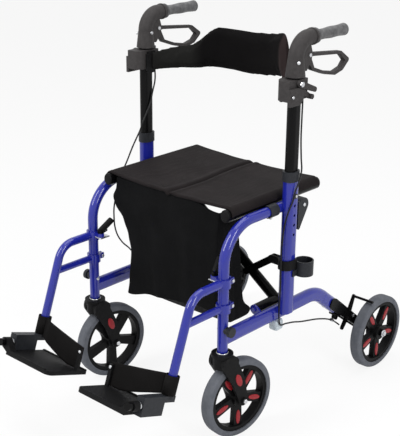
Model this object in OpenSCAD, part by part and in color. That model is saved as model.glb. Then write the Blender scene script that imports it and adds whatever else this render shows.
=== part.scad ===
// Rollator transport chair: a folding walking frame that also serves as a pushed chair.
// X runs across the chair (the right side is +X), Y runs rearwards, Z is up, the floor is z = 0.
// Heights are above the floor. Distances in Y are from the upright posts.

/* [Wheels] */
// Diameter of each wheel over its tyre
wheel_d = 200; // [180:1:210]
// Width of the tyre
tyre_w = 30; // [22:1:34]
// Radial thickness of the tyre
tyre_t = 15; // [9:1:20]
// Width of the wheel rim
rim_w = 24; // [16:1:26]
// Radial thickness of the wheel rim
rim_t = 10; // [6:1:14]
// Length of the hub boss along the axle
boss_l = 34; // [30:1:40]
// Diameter of the hub boss
boss_d = 40; // [30:1:50]
// Number of spokes
spokes = 5; // [3:1:7]
// Width of a spoke where it meets the rim
spoke_w = 26; // [16:1:30]
// Thickness of a spoke
spoke_t = 15; // [8:1:20]
// Diameter of the wheel axles
axle_d = 12; // [8:1:16]

/* [Side frame] */
// Distance between the two upright posts
post_spacing = 472; // [452:1:520]
// Length of the post section, front to rear
post_l = 40; // [36:1:46]
// Width of the post section
post_w = 30; // [28:1:34]
// Wall of the post
post_wall = 2.4; // [1.6:0.1:3]
// Height of the post's top end
post_top = 605; // [590:1:640]
// Distance of the leg and rail inboard of the post
frame_inset = 18; // [14:1:20]
// Diameter of the leg tube
leg_d = 25; // [22:0.5:27]
// Wall of the leg and rail tubes
tube_wall = 2; // [1.2:0.1:3]
// Distance of the front leg ahead of the post
leg_reach = 210; // [190:1:240]
// Height of the front leg's lower end
leg_foot = 235; // [230:1:245]
// Radius of the arch at the top of the leg
arch_r = 92; // [70:1:110]
// Height of the top tube
top_tube_z = 538; // [535:1:545]
// Height of the bottom rail section
rail_h = 37; // [32:1:42]
// Width of the bottom rail section
rail_w = 24; // [20:0.5:24.5]
// Height of the bottom rail
rail_z = 268; // [262:1:272]
// Distance behind the post where the rail turns down
rail_bend_y = 111; // [80:1:130]
// Radius of the rail's bend
rail_bend_r = 100; // [70:1:130]
// Angle by which the rail turns down
rail_drop = 38; // [30:1:45]
// Length of the straight part of the rail after its bend
rail_tail = 75; // [55:1:90]
// Diameter of the holes for the handle height
hole_d = 7; // [5:0.5:9]
// Distance between the handle height holes
hole_pitch = 24; // [20:1:28]
// Number of handle height holes
hole_count = 5; // [3:1:6]

/* [Rear wheels] */
// Distance of the rear axle behind the post
rear_axle_y = 361; // [345:1:380]
// Thickness of the rear bracket plates
plate_t = 4; // [3:0.5:5]
// Gap between the rear bracket and the tyre
rear_gap = 19; // [12:1:22]

/* [Casters] */
// Distance of the caster axle behind the swivel axis
caster_trail = 47; // [40:1:60]
// Angle at which both casters stand, turned about their stems
caster_turn = 8; // [-20:1:20]
// Gap between the tyre and the fork leg
fork_gap = 3; // [2:0.5:5]
// Thickness of a fork leg
fork_t = 9; // [7:1:12]
// Diameter of the fork crown
crown_d = 44; // [36:1:50]

/* [Handles] */
// Height of the hand grip's centre line
grip_z = 931; // [920:1:960]
// Diameter of the hand grip
grip_d = 26; // [24:1:32]
// Length of the hand grip with its flange
grip_l = 120; // [100:1:135]
// Diameter of the flange on the hand grip
grip_flange_d = 36; // [34:1:44]
// Diameter of the handle elbow
elbow_d = 36; // [32:1:38]
// Bend radius of the handle elbow
elbow_r = 42; // [36:1:50]
// Distance of the handle housing's lower end below the grip
housing_drop = 82; // [78:1:90]
// Lower end of the handle tube inside the post
handle_foot = 440; // [420:1:460]
// Wall of the handle tube
handle_wall = 2; // [1.4:0.1:3]
// Thickness of the brake lever, side to side
lever_t = 13; // [10:0.5:15]

/* [Backrest] */
// Distance of the backrest hinge below the grip
back_drop = 115; // [112:1:122]
// Distance by which the band bows rearwards
band_bow = 110; // [80:1:120]
// Height of the pad at its middle
pad_h = 113; // [90:1:130]
// Thickness of the pad at its middle
pad_t = 26; // [16:1:32]
// Height of the backrest arm
arm_h = 54; // [44:1:60]

/* [Seat and cross frame] */
// Distance of the cross frame's lower pivots inboard of the post
cross_inset = 44; // [43:1:50]
// Height of the lower pivots of the cross frame
cross_z = 284; // [281:1:286]
// Height of the seat rails' centre line
seat_rail_z = 552; // [551:1:560]
// Width of a seat rail
seat_rail_w = 26; // [22:1:28]
// Height of a seat rail
seat_rail_h = 30; // [29:1:34]
// Front end of the seat rails, ahead of the post
seat_front = 178; // [160:1:190]
// Rear end of the seat rails, behind the post
seat_rear = 158; // [120:1:165]
// Height of a cross tube's section
cross_h = 28; // [24:1:30]
// Width of a cross tube's section
cross_w = 20; // [16:1:21]
// Distance of each cross tube's plane from the post
cross_lane = 18; // [18:1:22]
// Place of the stay's foot on the cross tube, as a share of the tube's lower half
stay_share = 0.425; // [0.4:0.005:0.5]
// Thickness of the seat fabric
seat_t = 6; // [4:0.5:8]
// Sag of the seat fabric at its centre fold
seat_sag = 8; // [0:1:14]

/* [Footrests] */
// Diameter of the hanger tube
hanger_d = 21; // [18:0.5:23]
// Height of the hanger's upper tube
hanger_z = 408; // [400:1:415]
// Height of the hanger's brace
brace_z = 346; // [340:1:355]
// Distance of the hanger's corner ahead of the front leg
hanger_reach = 103; // [95:1:110]
// Angle of the hanger's lower tube from upright
hanger_rake = 20; // [16:1:24]
// Height of the hanger tube's lower end
hanger_foot_z = 190; // [186:1:194]
// Drop of the tread below the hanger tube's lower end, along the tube
tread_drop = 31; // [31:1:34]
// Thickness of the footplate
footplate_t = 10; // [7:0.5:11]
// Length of the footplate, front to rear
footplate_l = 122; // [112:1:126]
// Half of the free space between the two footplates
footplate_gap = 48; // [40:1:80]
// Drop of the hinge pin's axis below the hanger tube's lower end
hinge_drop = 15; // [13:0.5:15]
// Diameter of the footplate hinge pin
pin_d = 12; // [9:0.5:14]
// Height of the heel strap
strap_h = 48; // [40:1:52]
// Thickness of the heel strap
strap_t = 3; // [2:0.5:4]

/* [Bag and cane holder] */
// Gap between the bag's mouth and the seat rails
bag_clear = 3; // [2:1:20]
// Distance by which the bag's floor is narrower on each side
bag_taper = 28; // [10:1:60]
// Height of the bag's mouth
bag_top_z = 550; // [500:1:552]
// Height of the bag's floor
bag_foot_z = 250; // [245:1:300]
// Wall of the bag
bag_wall = 3; // [2:0.5:4]
// Inner diameter of the cane cup
cup_d = 40; // [34:1:44]
// Depth of the cane cup
cup_depth = 34; // [26:1:38]
// Height of the cane cup's rim
cup_z = 402; // [396:1:402]

/* [Hidden] */
$fn = 48;

// Colours of the finishes
frame_blue = "#2B34A5";
black_plastic = "#242426";
black_steel = "#151517";
black_cloth = "#1B1A1B";
tyre_grey = "#56585C";

// Clearances: a running fit on a shaft, a sliding fit, a seat between fixed pieces, free air
run_gap = 0.06;
slide_gap = 0.3;
seat_gap = 0.1;
air = 0.5;
// A bend's wall is this much thinner than the straight tube's, inside and out
bend_thin = 0.25;

// Places worked out from the sizes above
wheel_r = wheel_d / 2;
post_x = post_spacing / 2;
frame_x = post_x - frame_inset;
leg_y = -leg_reach;
arch_z = top_tube_z - arch_r;
post_foot = rail_z + 2;
rail_turn = [rail_bend_y, rail_z - rail_bend_r];
rail_joint = rail_turn + rail_bend_r * [sin(rail_drop), cos(rail_drop)];
rail_end = rail_joint + rail_tail * [cos(rail_drop), -sin(rail_drop)];
rear_axle = [rear_axle_y, wheel_r];
rear_wheel_x = frame_x + rail_w / 2 + plate_t + rear_gap + tyre_w / 2;
axle_end_x = rear_wheel_x + boss_l / 2 + 8;
caster_axle = [leg_y + caster_trail, wheel_r];
fork_in = tyre_w / 2 + fork_gap;
rim_r = wheel_r - tyre_t;
handle_l = post_l - 2 * (post_wall + slide_gap);
handle_w = post_w - 2 * (post_wall + slide_gap);
hole_z = post_top - 35;
collar_h = 24;
elbow_z = grip_z - elbow_r;
housing_z = grip_z - housing_drop;
back_z = grip_z - back_drop;
cross_x = post_x - cross_inset;
grip_y = elbow_r + 20;
back_block_x = post_x - handle_w / 2 - 9;
arm_x = back_block_x - air;
arm_t = 6;
back_pin_d = 12;
band_end_t = 7;
band_x = arm_x - arm_t - seat_gap - band_end_t / 2;
seat_top_z = seat_rail_z + seat_rail_h / 2 + seat_gap;
footplate_out = frame_x - 15;

// Footrest places: the hanger's corner, the start of its lower tube and its foot
hanger_bend_r = 48;
hanger_down = [-sin(hanger_rake), -cos(hanger_rake)];
hanger_corner = [leg_y - hanger_reach, hanger_z];
hanger_tangent = hanger_bend_r * tan((90 - hanger_rake) / 2);
hanger_top = hanger_corner + hanger_tangent * hanger_down;
hanger_foot = hanger_corner + (hanger_z - hanger_foot_z) / cos(hanger_rake) * hanger_down;
brace_y = hanger_corner[0] - (hanger_z - brace_z) * tan(hanger_rake);

// Footplate places: its pieces are drawn upright under the hanger's foot, then squared to the hanger
hinge_z = hanger_foot_z - hinge_drop;
plate_z = hanger_foot_z - tread_drop;
socket_d = hanger_d + 6;
block_rear = hanger_foot[0] + hanger_d / 2 + 4;
strap_y = hanger_foot[0] - socket_d / 2 - air - strap_t;
footplate_rear = hanger_foot[0] + 9;
footplate_front = footplate_rear - footplate_l;
knuckle_l = 18;
block_front = footplate_front + knuckle_l + 8;
plug_d = pin_d + 6;
pin_front = footplate_front - 12;
pin_tip = hanger_foot[0] + (pin_front - hanger_foot[0]) * cos(hanger_rake)
  - (hinge_drop + plug_d / 2) * sin(hanger_rake);
latch_at = [frame_x - leg_d / 2 - 15, leg_y];
latch_pin_d = 6;

// The whole chair is centred front to rear between the hinge pins and the rear tyres
shift_y = -(pin_tip + rear_axle_y + wheel_r) / 2;

// Cross frame: half a tube's run, the stay's foot on the tube and its head on the post collar
cross_mid_z = (cross_z + seat_rail_z) / 2;
stay_foot = [cross_x * (1 - stay_share), cross_z + stay_share * (cross_mid_z - cross_z)];
stay_head = [cross_x, cross_z + 2 * stay_share * (cross_mid_z - cross_z)];
cross_run = 2 * norm([cross_x, (seat_rail_z - cross_z) / 2]);
cross_slope = atan2(seat_rail_z - cross_z, 2 * cross_x);
sleeve_d = 24;
sleeve_pin_d = 12;
sleeve_front = -62;
sleeve_rear = 30;
stay_pin_d = 8;
stay_t = 6;
stay_d = 18;

// Brake places: lever pivot, arm pivot on the rear bracket and the shoe above the tyre
lever_pivot = [elbow_r - 7, elbow_z + 4];
lever_pin_d = 6;
shoe_lift = 4;
shoe_d = 7;
shoe_angle = 112;
shoe_at = rear_axle + (wheel_r + shoe_lift + shoe_d / 2) * [cos(shoe_angle), sin(shoe_angle)];
brake_pivot = rail_end + 0.5 * (rear_axle - rail_end) + [4, 5];
brake_pin_d = 8;
brake_t = 5;
brake_foot = brake_pivot + [-25, -33];

// Cane holder places
cup_wall = 3;
cup_at = [post_x + post_w / 2 + 7, post_l / 2 + cup_d / 2 - 3];
clip_z = 479;
clip_h = 78;

// Brake cable routes, from the handle housing to the brake arm, as distances outboard of the post
cable_d = 4;
cable_top = housing_z - 3;
cable_end = brake_foot + [-15, 14];
function fall(share, low) = low + share * (cable_top - low);
rail_route = [
  [3, -28, 262], [2, -21, 243], [-1, 4, 236], [-5, 40, 226], [-8, 75, 214], [-11, 110, 204],
  [-14, 145, 194], [-16, 175, 184], [-18, 205, 172],
  [-frame_inset, cable_end[0] - 32, cable_end[1] + 24],
  [-frame_inset, cable_end[0] - 14, cable_end[1] + 11],
  [-frame_inset, cable_end[0], cable_end[1]]
];
right_route = concat([
  [0, 26, cable_top], [4, 26, fall(0.76, 655)], [5, 25, fall(0.5, 655)],
  [6, 24, fall(0.24, 655)], [9, 24, 655],
  [19, 14, 629], [21, 3, 604], [19, -9, 578], [18, -12, 562], [14, -20, 540], [10, -26, 514], [6, -29, 480],
  [4, -30, 440], [4, -30, 400], [4, -29, 350], [3, -29, 300]
], rail_route);
left_route = concat([
  [-4, 26, cable_top], [-6, 26, fall(0.7, 662)], [-12, 20, fall(0.55, 662)], [-15, 8, fall(0.4, 662)],
  [-15, 0, fall(0.26, 662)], [-15, -14, fall(0.13, 662)], [-14, -27, 662], [-11, -34, 642], [-8, -41, 627],
  [-3, -54, 600], [0, -70, 568], [2, -92, 530], [2, -107, 490], [1, -118, 458], [0, -121, 431],
  [1, -114, 385], [1, -94, 350], [1, -66, 322], [2, -42, 290]
], rail_route);

// General shapes

// Puts a right-hand piece, drawn from the posts, into the centred chair
module right() {
  translate([0, shift_y, 0]) children();
}

// The same piece on the left side
module left() {
  translate([0, shift_y, 0]) mirror([1, 0, 0]) children();
}

// Turns a right-hand caster piece about its stem
module swivelled(turn) {
  translate([frame_x, leg_y, 0]) rotate(turn) translate([-frame_x, -leg_y, 0]) children();
}

// Outline with round ends, long along X
module stadium(l, w) {
  square([l - w, w], center = true);
  for (s = [-1, 1]) translate([s * (l - w) / 2, 0]) circle(d = w);
}

// Wall of a tube with round ends
module stadium_wall(l, w, t) {
  difference() {
    stadium(l, w);
    stadium(l - 2 * t, w - 2 * t);
  }
}

// Wall of a round tube
module ring(d, t) {
  difference() {
    circle(d = d);
    circle(d = d - 2 * t);
  }
}

// Bar that runs from a circle at p to a circle at q along their outer tangents
module tapered_bar(p, rp, q, rq) {
  run = q - p;
  a = atan2(run[1], run[0]);
  b = acos((rp - rq) / norm(run));
  polygon([
    p + rp * [cos(a + b), sin(a + b)], p + rp * [cos(a - b), sin(a - b)],
    q + rq * [cos(a - b), sin(a - b)], q + rq * [cos(a + b), sin(a + b)]
  ]);
  translate(p) circle(rp);
  translate(q) circle(rq);
}

// Draws an outline of (y, z) points as a plate from x0 to x1
module side_plate(x0, x1) {
  translate([x0, 0, 0]) rotate([90, 0, 90]) linear_extrude(x1 - x0) children();
}

// Draws an outline of (x, z) points as a plate from y0 to y1
module front_plate(y0, y1) {
  translate([0, y1, 0]) rotate([90, 0, 0]) linear_extrude(y1 - y0) children();
}

// Sweeps a section straight between two (y, z) points at x
module side_run(x, from, to) {
  a = atan2(to[1] - from[1], to[0] - from[0]);
  translate([x, from[0], from[1]]) rotate([90, 0, 90]) rotate(a) rotate([0, 90, 0]) rotate(90)
    linear_extrude(norm(to - from)) children();
}

// Sweeps a section round a (y, z) centre at x, from angle a0 to a1
module side_bend(x, centre, r, a0, a1) {
  translate([x, centre[0], centre[1]]) rotate([90, 0, 90]) rotate(a0)
    rotate_extrude(angle = a1 - a0) translate([r, 0]) children();
}

// Cylinder across the chair from x0 to x1 at a (y, z) point
module across(x0, x1, at, d) {
  translate([x0, at[0], at[1]]) rotate([0, 90, 0]) cylinder(d = d, h = x1 - x0);
}

// Cylinder front to rear from y0 to y1 at an (x, z) point
module lengthwise(y0, y1, at, d) {
  translate([at[0], y0, at[1]]) rotate([-90, 0, 0]) cylinder(d = d, h = y1 - y0);
}

// Prism of the post section, grown by a margin
module post_prism(z0, z1, grow) {
  translate([post_x, 0, z0]) rotate(90) linear_extrude(z1 - z0) stadium(post_l + 2 * grow, post_w + 2 * grow);
}

// Prism of the handle tube section, grown by a margin
module handle_prism(z0, z1, grow) {
  translate([post_x, 0, z0]) rotate(90) linear_extrude(z1 - z0)
    stadium(handle_l + 2 * grow, handle_w + 2 * grow);
}

// Tube along a list of points, as one closed skin
module cord(points, d) {
  sides = 8;
  n = len(points);
  function run(i) = points[min(i + 1, n - 1)] - points[max(i - 1, 0)];
  function across_run(t) = let (c = cross(t, [1, 0.2, 0.1])) c / norm(c);
  rings = [for (i = [0:n - 1]) let (t = run(i) / norm(run(i)), u = across_run(t), v = cross(t, u))
    for (k = [0:sides - 1]) points[i] + d / 2 * (cos(360 * k / sides) * u + sin(360 * k / sides) * v)];
  walls = [for (i = [0:n - 2], k = [0:sides - 1]) let (a = i * sides + k, b = i * sides + (k + 1) % sides)
    each [[a, a + sides, b], [b, a + sides, b + sides]]];
  first = [for (k = [1:sides - 2]) [0, k, k + 1]];
  last = [for (k = [1:sides - 2]) [(n - 1) * sides, (n - 1) * sides + k + 1, (n - 1) * sides + k]];
  polyhedron(points = rings, faces = concat(walls, first, last), convexity = 6);
}

// Closed skin over equal rings of points, with the first and last rings capped
module loft(rings) {
  n = len(rings);
  m = len(rings[0]);
  walls = [for (i = [0:n - 2], k = [0:m - 1]) let (a = i * m + k, b = i * m + (k + 1) % m)
    each [[a, a + m, b], [b, a + m, b + m]]];
  first = [for (k = [1:m - 2]) [0, k, k + 1]];
  last = [for (k = [1:m - 2]) [(n - 1) * m, (n - 1) * m + k + 1, (n - 1) * m + k]];
  polyhedron(points = [for (r = rings) each r], faces = concat(walls, first, last), convexity = 4);
}

// Side frame

module front_leg() {
  color(frame_blue) difference() {
    union() {
      side_run(frame_x, [leg_y, leg_foot], [leg_y, arch_z]) ring(leg_d, tube_wall);
      side_bend(frame_x, [leg_y + arch_r, arch_z], arch_r, 90, 180) ring(leg_d, tube_wall);
      side_run(frame_x, [leg_y + arch_r, top_tube_z], [0, top_tube_z]) ring(leg_d, tube_wall);
    }
    post_prism(0, post_top, 0);
  }
}

// Bottom rail, and the lugs with the pin that carry the cross frame's foot
module bottom_rail() {
  lug_t = 4;
  reach = air + 2 * lug_t;
  color(frame_blue) {
    difference() {
      union() {
        side_run(frame_x, [leg_y, rail_z], [rail_bend_y, rail_z]) stadium_wall(rail_h, rail_w, tube_wall);
        side_bend(frame_x, rail_turn, rail_bend_r, 90 - rail_drop, 90)
          stadium_wall(rail_h - 2 * bend_thin, rail_w - 2 * bend_thin, tube_wall - 2 * bend_thin);
        side_run(frame_x, rail_joint, rail_end) stadium_wall(rail_h, rail_w, tube_wall);
      }
      side_run(frame_x, [leg_y, 0], [leg_y, top_tube_z]) circle(d = leg_d);
    }
    difference() {
      union() {
        for (y = [sleeve_front - air - lug_t, sleeve_rear + air])
          front_plate(y, y + lug_t)
            tapered_bar([cross_x, cross_z], sleeve_d / 2, [frame_x, rail_z], rail_w / 2 - 2);
        lengthwise(sleeve_front - reach, sleeve_rear + reach, [cross_x, cross_z], sleeve_pin_d);
      }
      side_run(frame_x, [leg_y, rail_z], [rail_bend_y, rail_z]) stadium(rail_h, rail_w);
    }
  }
}

module upright_post() {
  color(frame_blue) difference() {
    post_prism(post_foot, post_top, 0);
    post_prism(post_foot - 1, post_top + 1, -post_wall);
    side_run(frame_x, [-post_l, rail_z], [post_l, rail_z]) stadium(rail_h, rail_w);
    for (i = [0:hole_count - 1])
      across(post_x, post_x + post_w, [0, hole_z - i * hole_pitch], hole_d);
  }
}

// Post collar, height bolt, seat saddle and leg bumper
module frame_fittings() {
  bolt_head_d = hole_d + 5;
  saddle_front = -62;
  saddle_rear = -32;
  saddle_r = leg_d / 2 + 3;
  shelf_z = seat_rail_z - seat_rail_h / 2 - seat_gap;
  shelf_in = cross_x - 10;
  bumper_z = rail_z + 24;
  color(black_plastic) {
    difference() {
      post_prism(post_top, post_top + collar_h, 2);
      handle_prism(post_top - 1, post_top + collar_h + 1, slide_gap);
    }
    across(post_x + post_w / 2, post_x + post_w / 2 + 3, [0, hole_z], bolt_head_d);
    front_plate(saddle_front, saddle_rear) difference() {
      union() {
        translate([frame_x, top_tube_z]) circle(saddle_r);
        translate([shelf_in, shelf_z - 6]) square([frame_x - shelf_in, 6]);
      }
      translate([frame_x, top_tube_z]) circle(leg_d / 2);
      translate([frame_x - saddle_r, shelf_z]) square([saddle_r - 4, saddle_r * 2]);
    }
    difference() {
      across(frame_x + leg_d / 2 - 4, frame_x + leg_d / 2 + 9, [leg_y, bumper_z], 18);
      translate([frame_x, leg_y, bumper_z - 20]) cylinder(d = leg_d, h = 40);
    }
    across(frame_x + leg_d / 2 + 8, frame_x + leg_d / 2 + 17, [leg_y, bumper_z], 25);
  }
}

// Twin plates from the rail's end to the rear axle, with the axle, the brake pin and the cable stop
module rear_bracket() {
  plate_in = frame_x - rail_w / 2 - plate_t - seat_gap;
  plate_out = frame_x + rail_w / 2 + seat_gap;
  grip_at = rail_end - 26 * [cos(rail_drop), -sin(rail_drop)];
  stop_at = rail_end + [6, -34];
  color(black_steel) {
    difference() {
      union() {
        for (x = [plate_in, plate_out]) side_plate(x, x + plate_t) tapered_bar(grip_at, 16, rear_axle, 11);
        side_plate(plate_in + 1, plate_out + plate_t - 1) tapered_bar(rear_axle + [-24, 18], 7, rear_axle, 9);
        side_plate(plate_in + 1, plate_out + plate_t - 1)
          tapered_bar(rail_end + [14, -9], 5, rail_end + [6, -24], 5);
        side_plate(frame_x - 6, frame_x + 6) tapered_bar(rail_end + [6, -24], 4, stop_at, 6);
      }
      translate([frame_x, stop_at[0] - 12, stop_at[1] + 8]) rotate([-122, 0, 0])
        cylinder(d = cable_d + 2, h = 30);
    }
    across(plate_in - 6, axle_end_x - 8, rear_axle, axle_d);
    across(axle_end_x - 8, axle_end_x, rear_axle, axle_d + 7);
    across(plate_in, plate_out + plate_t, brake_pivot, brake_pin_d);
  }
}

// Cane cup with its arm, and the leaf-shaped clip above it
module cane_holder() {
  leaf_top = [post_l / 2 + 20, clip_z + clip_h - 20];
  arm_z = cup_z - 28;
  color(black_plastic) {
    difference() {
      union() {
        translate([cup_at[0], cup_at[1], cup_z - cup_depth - cup_wall])
          cylinder(d = cup_d + 2 * cup_wall, h = cup_depth + cup_wall);
        difference() {
          translate([post_x - 4, 0, arm_z - 8]) cube([cup_at[0] - post_x, cup_at[1], 16]);
          post_prism(0, post_top, seat_gap);
        }
      }
      translate([cup_at[0], cup_at[1], cup_z - cup_depth]) cylinder(d = cup_d, h = cup_depth + 1);
    }
    difference() {
      side_plate(post_x - 11, post_x + 11)
        difference() {
          union() {
            tapered_bar(leaf_top, 18, [post_l / 2 + 4, clip_z + 4], 4);
            translate([post_l / 2 - 6, clip_z + 4]) square([16, clip_h - 12]);
          }
          translate([post_l / 2 - 40, clip_z - 20]) square([40, clip_h + 40]);
        }
      post_prism(0, post_top, 0);
      side_plate(post_x - 8, post_x + 8) tapered_bar(leaf_top + [1, 0], 14, [post_l / 2 + 9, clip_z + 12], 3);
    }
  }
}

// Open bag under the seat
module cargo_bag() {
  front = -166;
  rear_top = -60;
  rear_foot = -40;
  function ring_at(x, y0, y1, z) = [[-x, y0, z], [x, y0, z], [x, y1, z], [-x, y1, z]];
  bag_top_x = cross_x - seat_rail_w / 2 - bag_clear;
  bag_foot_x = bag_top_x - bag_taper;
  slope = bag_taper / (bag_top_z - bag_foot_z);
  color(black_cloth) difference() {
    loft([
      ring_at(bag_foot_x, front + 4, rear_foot, bag_foot_z),
      ring_at(bag_top_x, front, rear_top, bag_top_z)
    ]);
    loft([
      ring_at(bag_foot_x - bag_wall, front + 4 + bag_wall, rear_foot - bag_wall, bag_foot_z + bag_wall),
      ring_at(bag_top_x - bag_wall + slope, front + bag_wall, rear_top - bag_wall, bag_top_z + 1)
    ]);
  }
}

// Handles

module handle_tube() {
  color(black_steel) difference() {
    handle_prism(handle_foot, elbow_z - 4, 0);
    handle_prism(handle_foot - 1, elbow_z, -handle_wall);
    across(post_x, post_x + post_w, [0, hole_z], hole_d);
  }
}

// Elbow moulding on the handle tube, with the core of the grip and the lever's cheeks
module handle_housing() {
  core_d = grip_d - 7;
  cheek_w = lever_t + 12;
  color(black_plastic) {
    difference() {
      union() {
        translate([post_x, 0, housing_z])
          cylinder(d1 = elbow_d + 10, d2 = elbow_d + 1, h = elbow_z - housing_z);
        side_bend(post_x, [elbow_r, elbow_z], elbow_r, 90, 180) circle(d = elbow_d);
        side_run(post_x, [elbow_r, grip_z], [grip_y, grip_z]) circle(d = elbow_d);
        side_run(post_x, [grip_y - 1, grip_z], [grip_y + grip_l - 12, grip_z]) circle(d = core_d);
        side_plate(post_x - cheek_w / 2, post_x + cheek_w / 2)
          polygon([
            [0, housing_z + 12], [handle_l / 2 + 8, housing_z + 10], lever_pivot + [7, -14],
            lever_pivot + [9, 6], lever_pivot + [2, 26], [0, elbow_z + 30]
          ]);
      }
      handle_prism(housing_z - 1, elbow_z - 4 + seat_gap, seat_gap);
      side_plate(post_x - lever_t / 2 - slide_gap, post_x + lever_t / 2 + slide_gap)
        translate(lever_pivot) polygon([[-13, -50], [30, -50], [30, 14], [-8, 14], [-13, 6]]);
    }
    across(post_x - cheek_w / 2, post_x + cheek_w / 2, lever_pivot, lever_pin_d);
  }
}

// Rubber grip with its flange and a slightly fuller end
module grip() {
  bore_r = (grip_d - 7) / 2 + seat_gap;
  function grip_r(t) = grip_d / 2 - 0.8 + 1.6 * t + 0.6 * cos(720 * t);
  steps = 12;
  barrel = grip_l - 9;
  color("#2E2E31") translate([post_x, grip_y, grip_z]) rotate([-90, 0, 0]) rotate_extrude()
    polygon(concat(
      [[bore_r, 0.2], [grip_flange_d / 2 - 2, 0.2], [grip_flange_d / 2, 2], [grip_flange_d / 2, 6]],
      [[grip_flange_d / 2 - 3, 9]],
      [for (i = [0:steps]) [grip_r(i / steps), 9 + (barrel - 5) * i / steps]],
      [[grip_d / 2 - 1, grip_l - 2], [grip_d / 2 - 5, grip_l], [0, grip_l], [0, grip_l - 12 + seat_gap]],
      [[bore_r, grip_l - 12 + seat_gap]]
    ));
}

// Closed loop lever on its pivot
module brake_lever() {
  p = lever_pivot;
  top = p + [128, -13];
  tip = p + [155, -34];
  bow = [p + [136, -52], p + [108, -59], p + [66, -51], p + [24, -36]];
  color(black_plastic) difference() {
    side_plate(post_x - lever_t / 2, post_x + lever_t / 2) {
      tapered_bar(p, 8, p + [20, -2], 4);
      tapered_bar(p + [20, -2], 4, top, 3.4);
      tapered_bar(top, 3.4, tip, 6);
      tapered_bar(tip, 6, bow[0], 4.5);
      tapered_bar(bow[0], 4.5, bow[1], 4);
      tapered_bar(bow[1], 4, bow[2], 3.6);
      tapered_bar(bow[2], 3.6, bow[3], 3.8);
      tapered_bar(bow[3], 3.8, p, 8);
    }
    across(post_x - lever_t, post_x + lever_t, p, lever_pin_d + 2 * run_gap);
  }
}

// Clamp block on the handle tube that carries the backrest's hinge
module backrest_bracket() {
  block_out = post_x + handle_w / 2 + 6;
  low = back_z - 27;
  high = back_z + 13;
  front = -handle_l / 2 - 8;
  rear = handle_l / 2 + 6;
  nose_r = (block_out - back_block_x) / 2;
  cheek_r = rear - front + 6;
  lever_at = [front + 14, high + 8];
  color(black_plastic) {
    difference() {
      union() {
        for (z = [[low + 10, high - 0.5], [high - 2, high + 16]]) {
          translate([back_block_x, front, z[0]]) cube([2 * nose_r, rear - front, z[1] - z[0]]);
          translate([back_block_x + nose_r, front, z[0]]) cylinder(r = nose_r, h = z[1] - z[0]);
          translate([back_block_x + nose_r, front - nose_r, z[0]]) cube([nose_r, nose_r + 1, z[1] - z[0]]);
        }
        side_plate(block_out - 1, block_out + 6) intersection() {
          translate([front - nose_r, high]) circle(r = cheek_r);
          translate([front - nose_r, low]) square([cheek_r, high - low]);
        }
        side_plate(block_out - 1, block_out + 9) tapered_bar(lever_at, 8, lever_at + [52, -20], 6);
        side_plate(block_out - 1, block_out + 5) tapered_bar([0, high - 12], 8, [rear + 6, high - 26], 4);
        across(block_out, block_out + 12, [rear + 4, high - 26], 12);
      }
      handle_prism(low - 1, high + 30, seat_gap);
    }
    across(arm_x - arm_t, back_block_x, [0, back_z], back_pin_d);
  }
}

// Side arm of the backrest, turning on the bracket's pin
module backrest_arm() {
  color(black_plastic) difference() {
    side_plate(arm_x - arm_t, arm_x) {
      translate([0, back_z]) circle(d = 26);
      translate([-22, back_z - arm_h / 2 + 6]) square([32, arm_h - 12]);
      translate([-18, back_z - arm_h / 2]) square([24, arm_h]);
    }
    across(arm_x - 20, arm_x + 20, [0, back_z], back_pin_d + 2 * run_gap);
  }
}

// Padded band between the arms, bowed rearwards, tall in the middle and narrow at the arms
module backrest_pad() {
  steps = 32;
  sides = 14;
  start = -12;
  function share(a) = pow(abs(sin(a)), 0.7);
  function ease(t) = let (s = max(0, min(1, t))) s * s * (3 - 2 * s);
  // Share of the full height: steep on the right end, a long neck on the left
  function fullness(a) = a < 90
    ? ease((a - 10) / 32)
    : 0.3 * ease((180 - a) / 55) + 0.7 * ease((138 - a) / 28);
  function half_h(a) = (arm_h + (pad_h - arm_h) * fullness(a)) / 2;
  function mid_z(a) = back_z + 2 + fullness(a) * (40 + 30 * pow(max(0, cos(a)), 2));
  function half_t(a) = (band_end_t + (pad_t - band_end_t) * share(a)) / 2;
  function square_to(v) = v / norm(v);
  function section(a) = let (
    n = square_to([cos(a) * band_bow, sin(a) * band_x]),
    run_x = band_x + band_end_t / 2 - half_t(a))
    [for (k = [0:sides - 1]) let (q = 360 * k / sides, c = cos(q), s = sin(q),
        u = half_t(a) * sign(c) * pow(abs(c), 0.8), v = half_h(a) * sign(s) * pow(abs(s), 0.6))
      [run_x * cos(a) + n[0] * u, start + band_bow * sin(a) + n[1] * u, mid_z(a) + v]];
  color(black_cloth) loft([for (i = [0:steps]) section(180 * i / steps)]);
}

// Cross frame and seat

// Tube with its foot sleeve and the far seat rail, as one weldment
module cross_frame(lane) {
  inner = 2 * tube_wall;
  color(black_steel) difference() {
    union() {
      translate([cross_x, lane, cross_z]) rotate([0, cross_slope - 180, 0]) rotate([0, 90, 0])
        linear_extrude(cross_run) stadium(cross_h, cross_w);
      lengthwise(sleeve_front, sleeve_rear, [cross_x, cross_z], sleeve_d);
      translate([-cross_x, -seat_front, seat_rail_z]) rotate([-90, 0, 0])
        linear_extrude(seat_front + seat_rear) rotate(90) stadium(seat_rail_h, seat_rail_w);
      lengthwise(min(lane, -sign(lane) * stay_t), max(lane, -sign(lane) * stay_t), stay_foot, stay_pin_d);
    }
    lengthwise(sleeve_front - 1, sleeve_rear + 1, [cross_x, cross_z], sleeve_pin_d + 2 * run_gap);
    translate([-cross_x, -seat_front - 1, seat_rail_z]) rotate([-90, 0, 0])
      linear_extrude(seat_front + seat_rear + 2) rotate(90) stadium(seat_rail_h - inner, seat_rail_w - inner);
    lengthwise(lane - cross_w, lane + cross_w, [0, cross_mid_z], 10 + 2 * seat_gap);
  }
}

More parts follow.
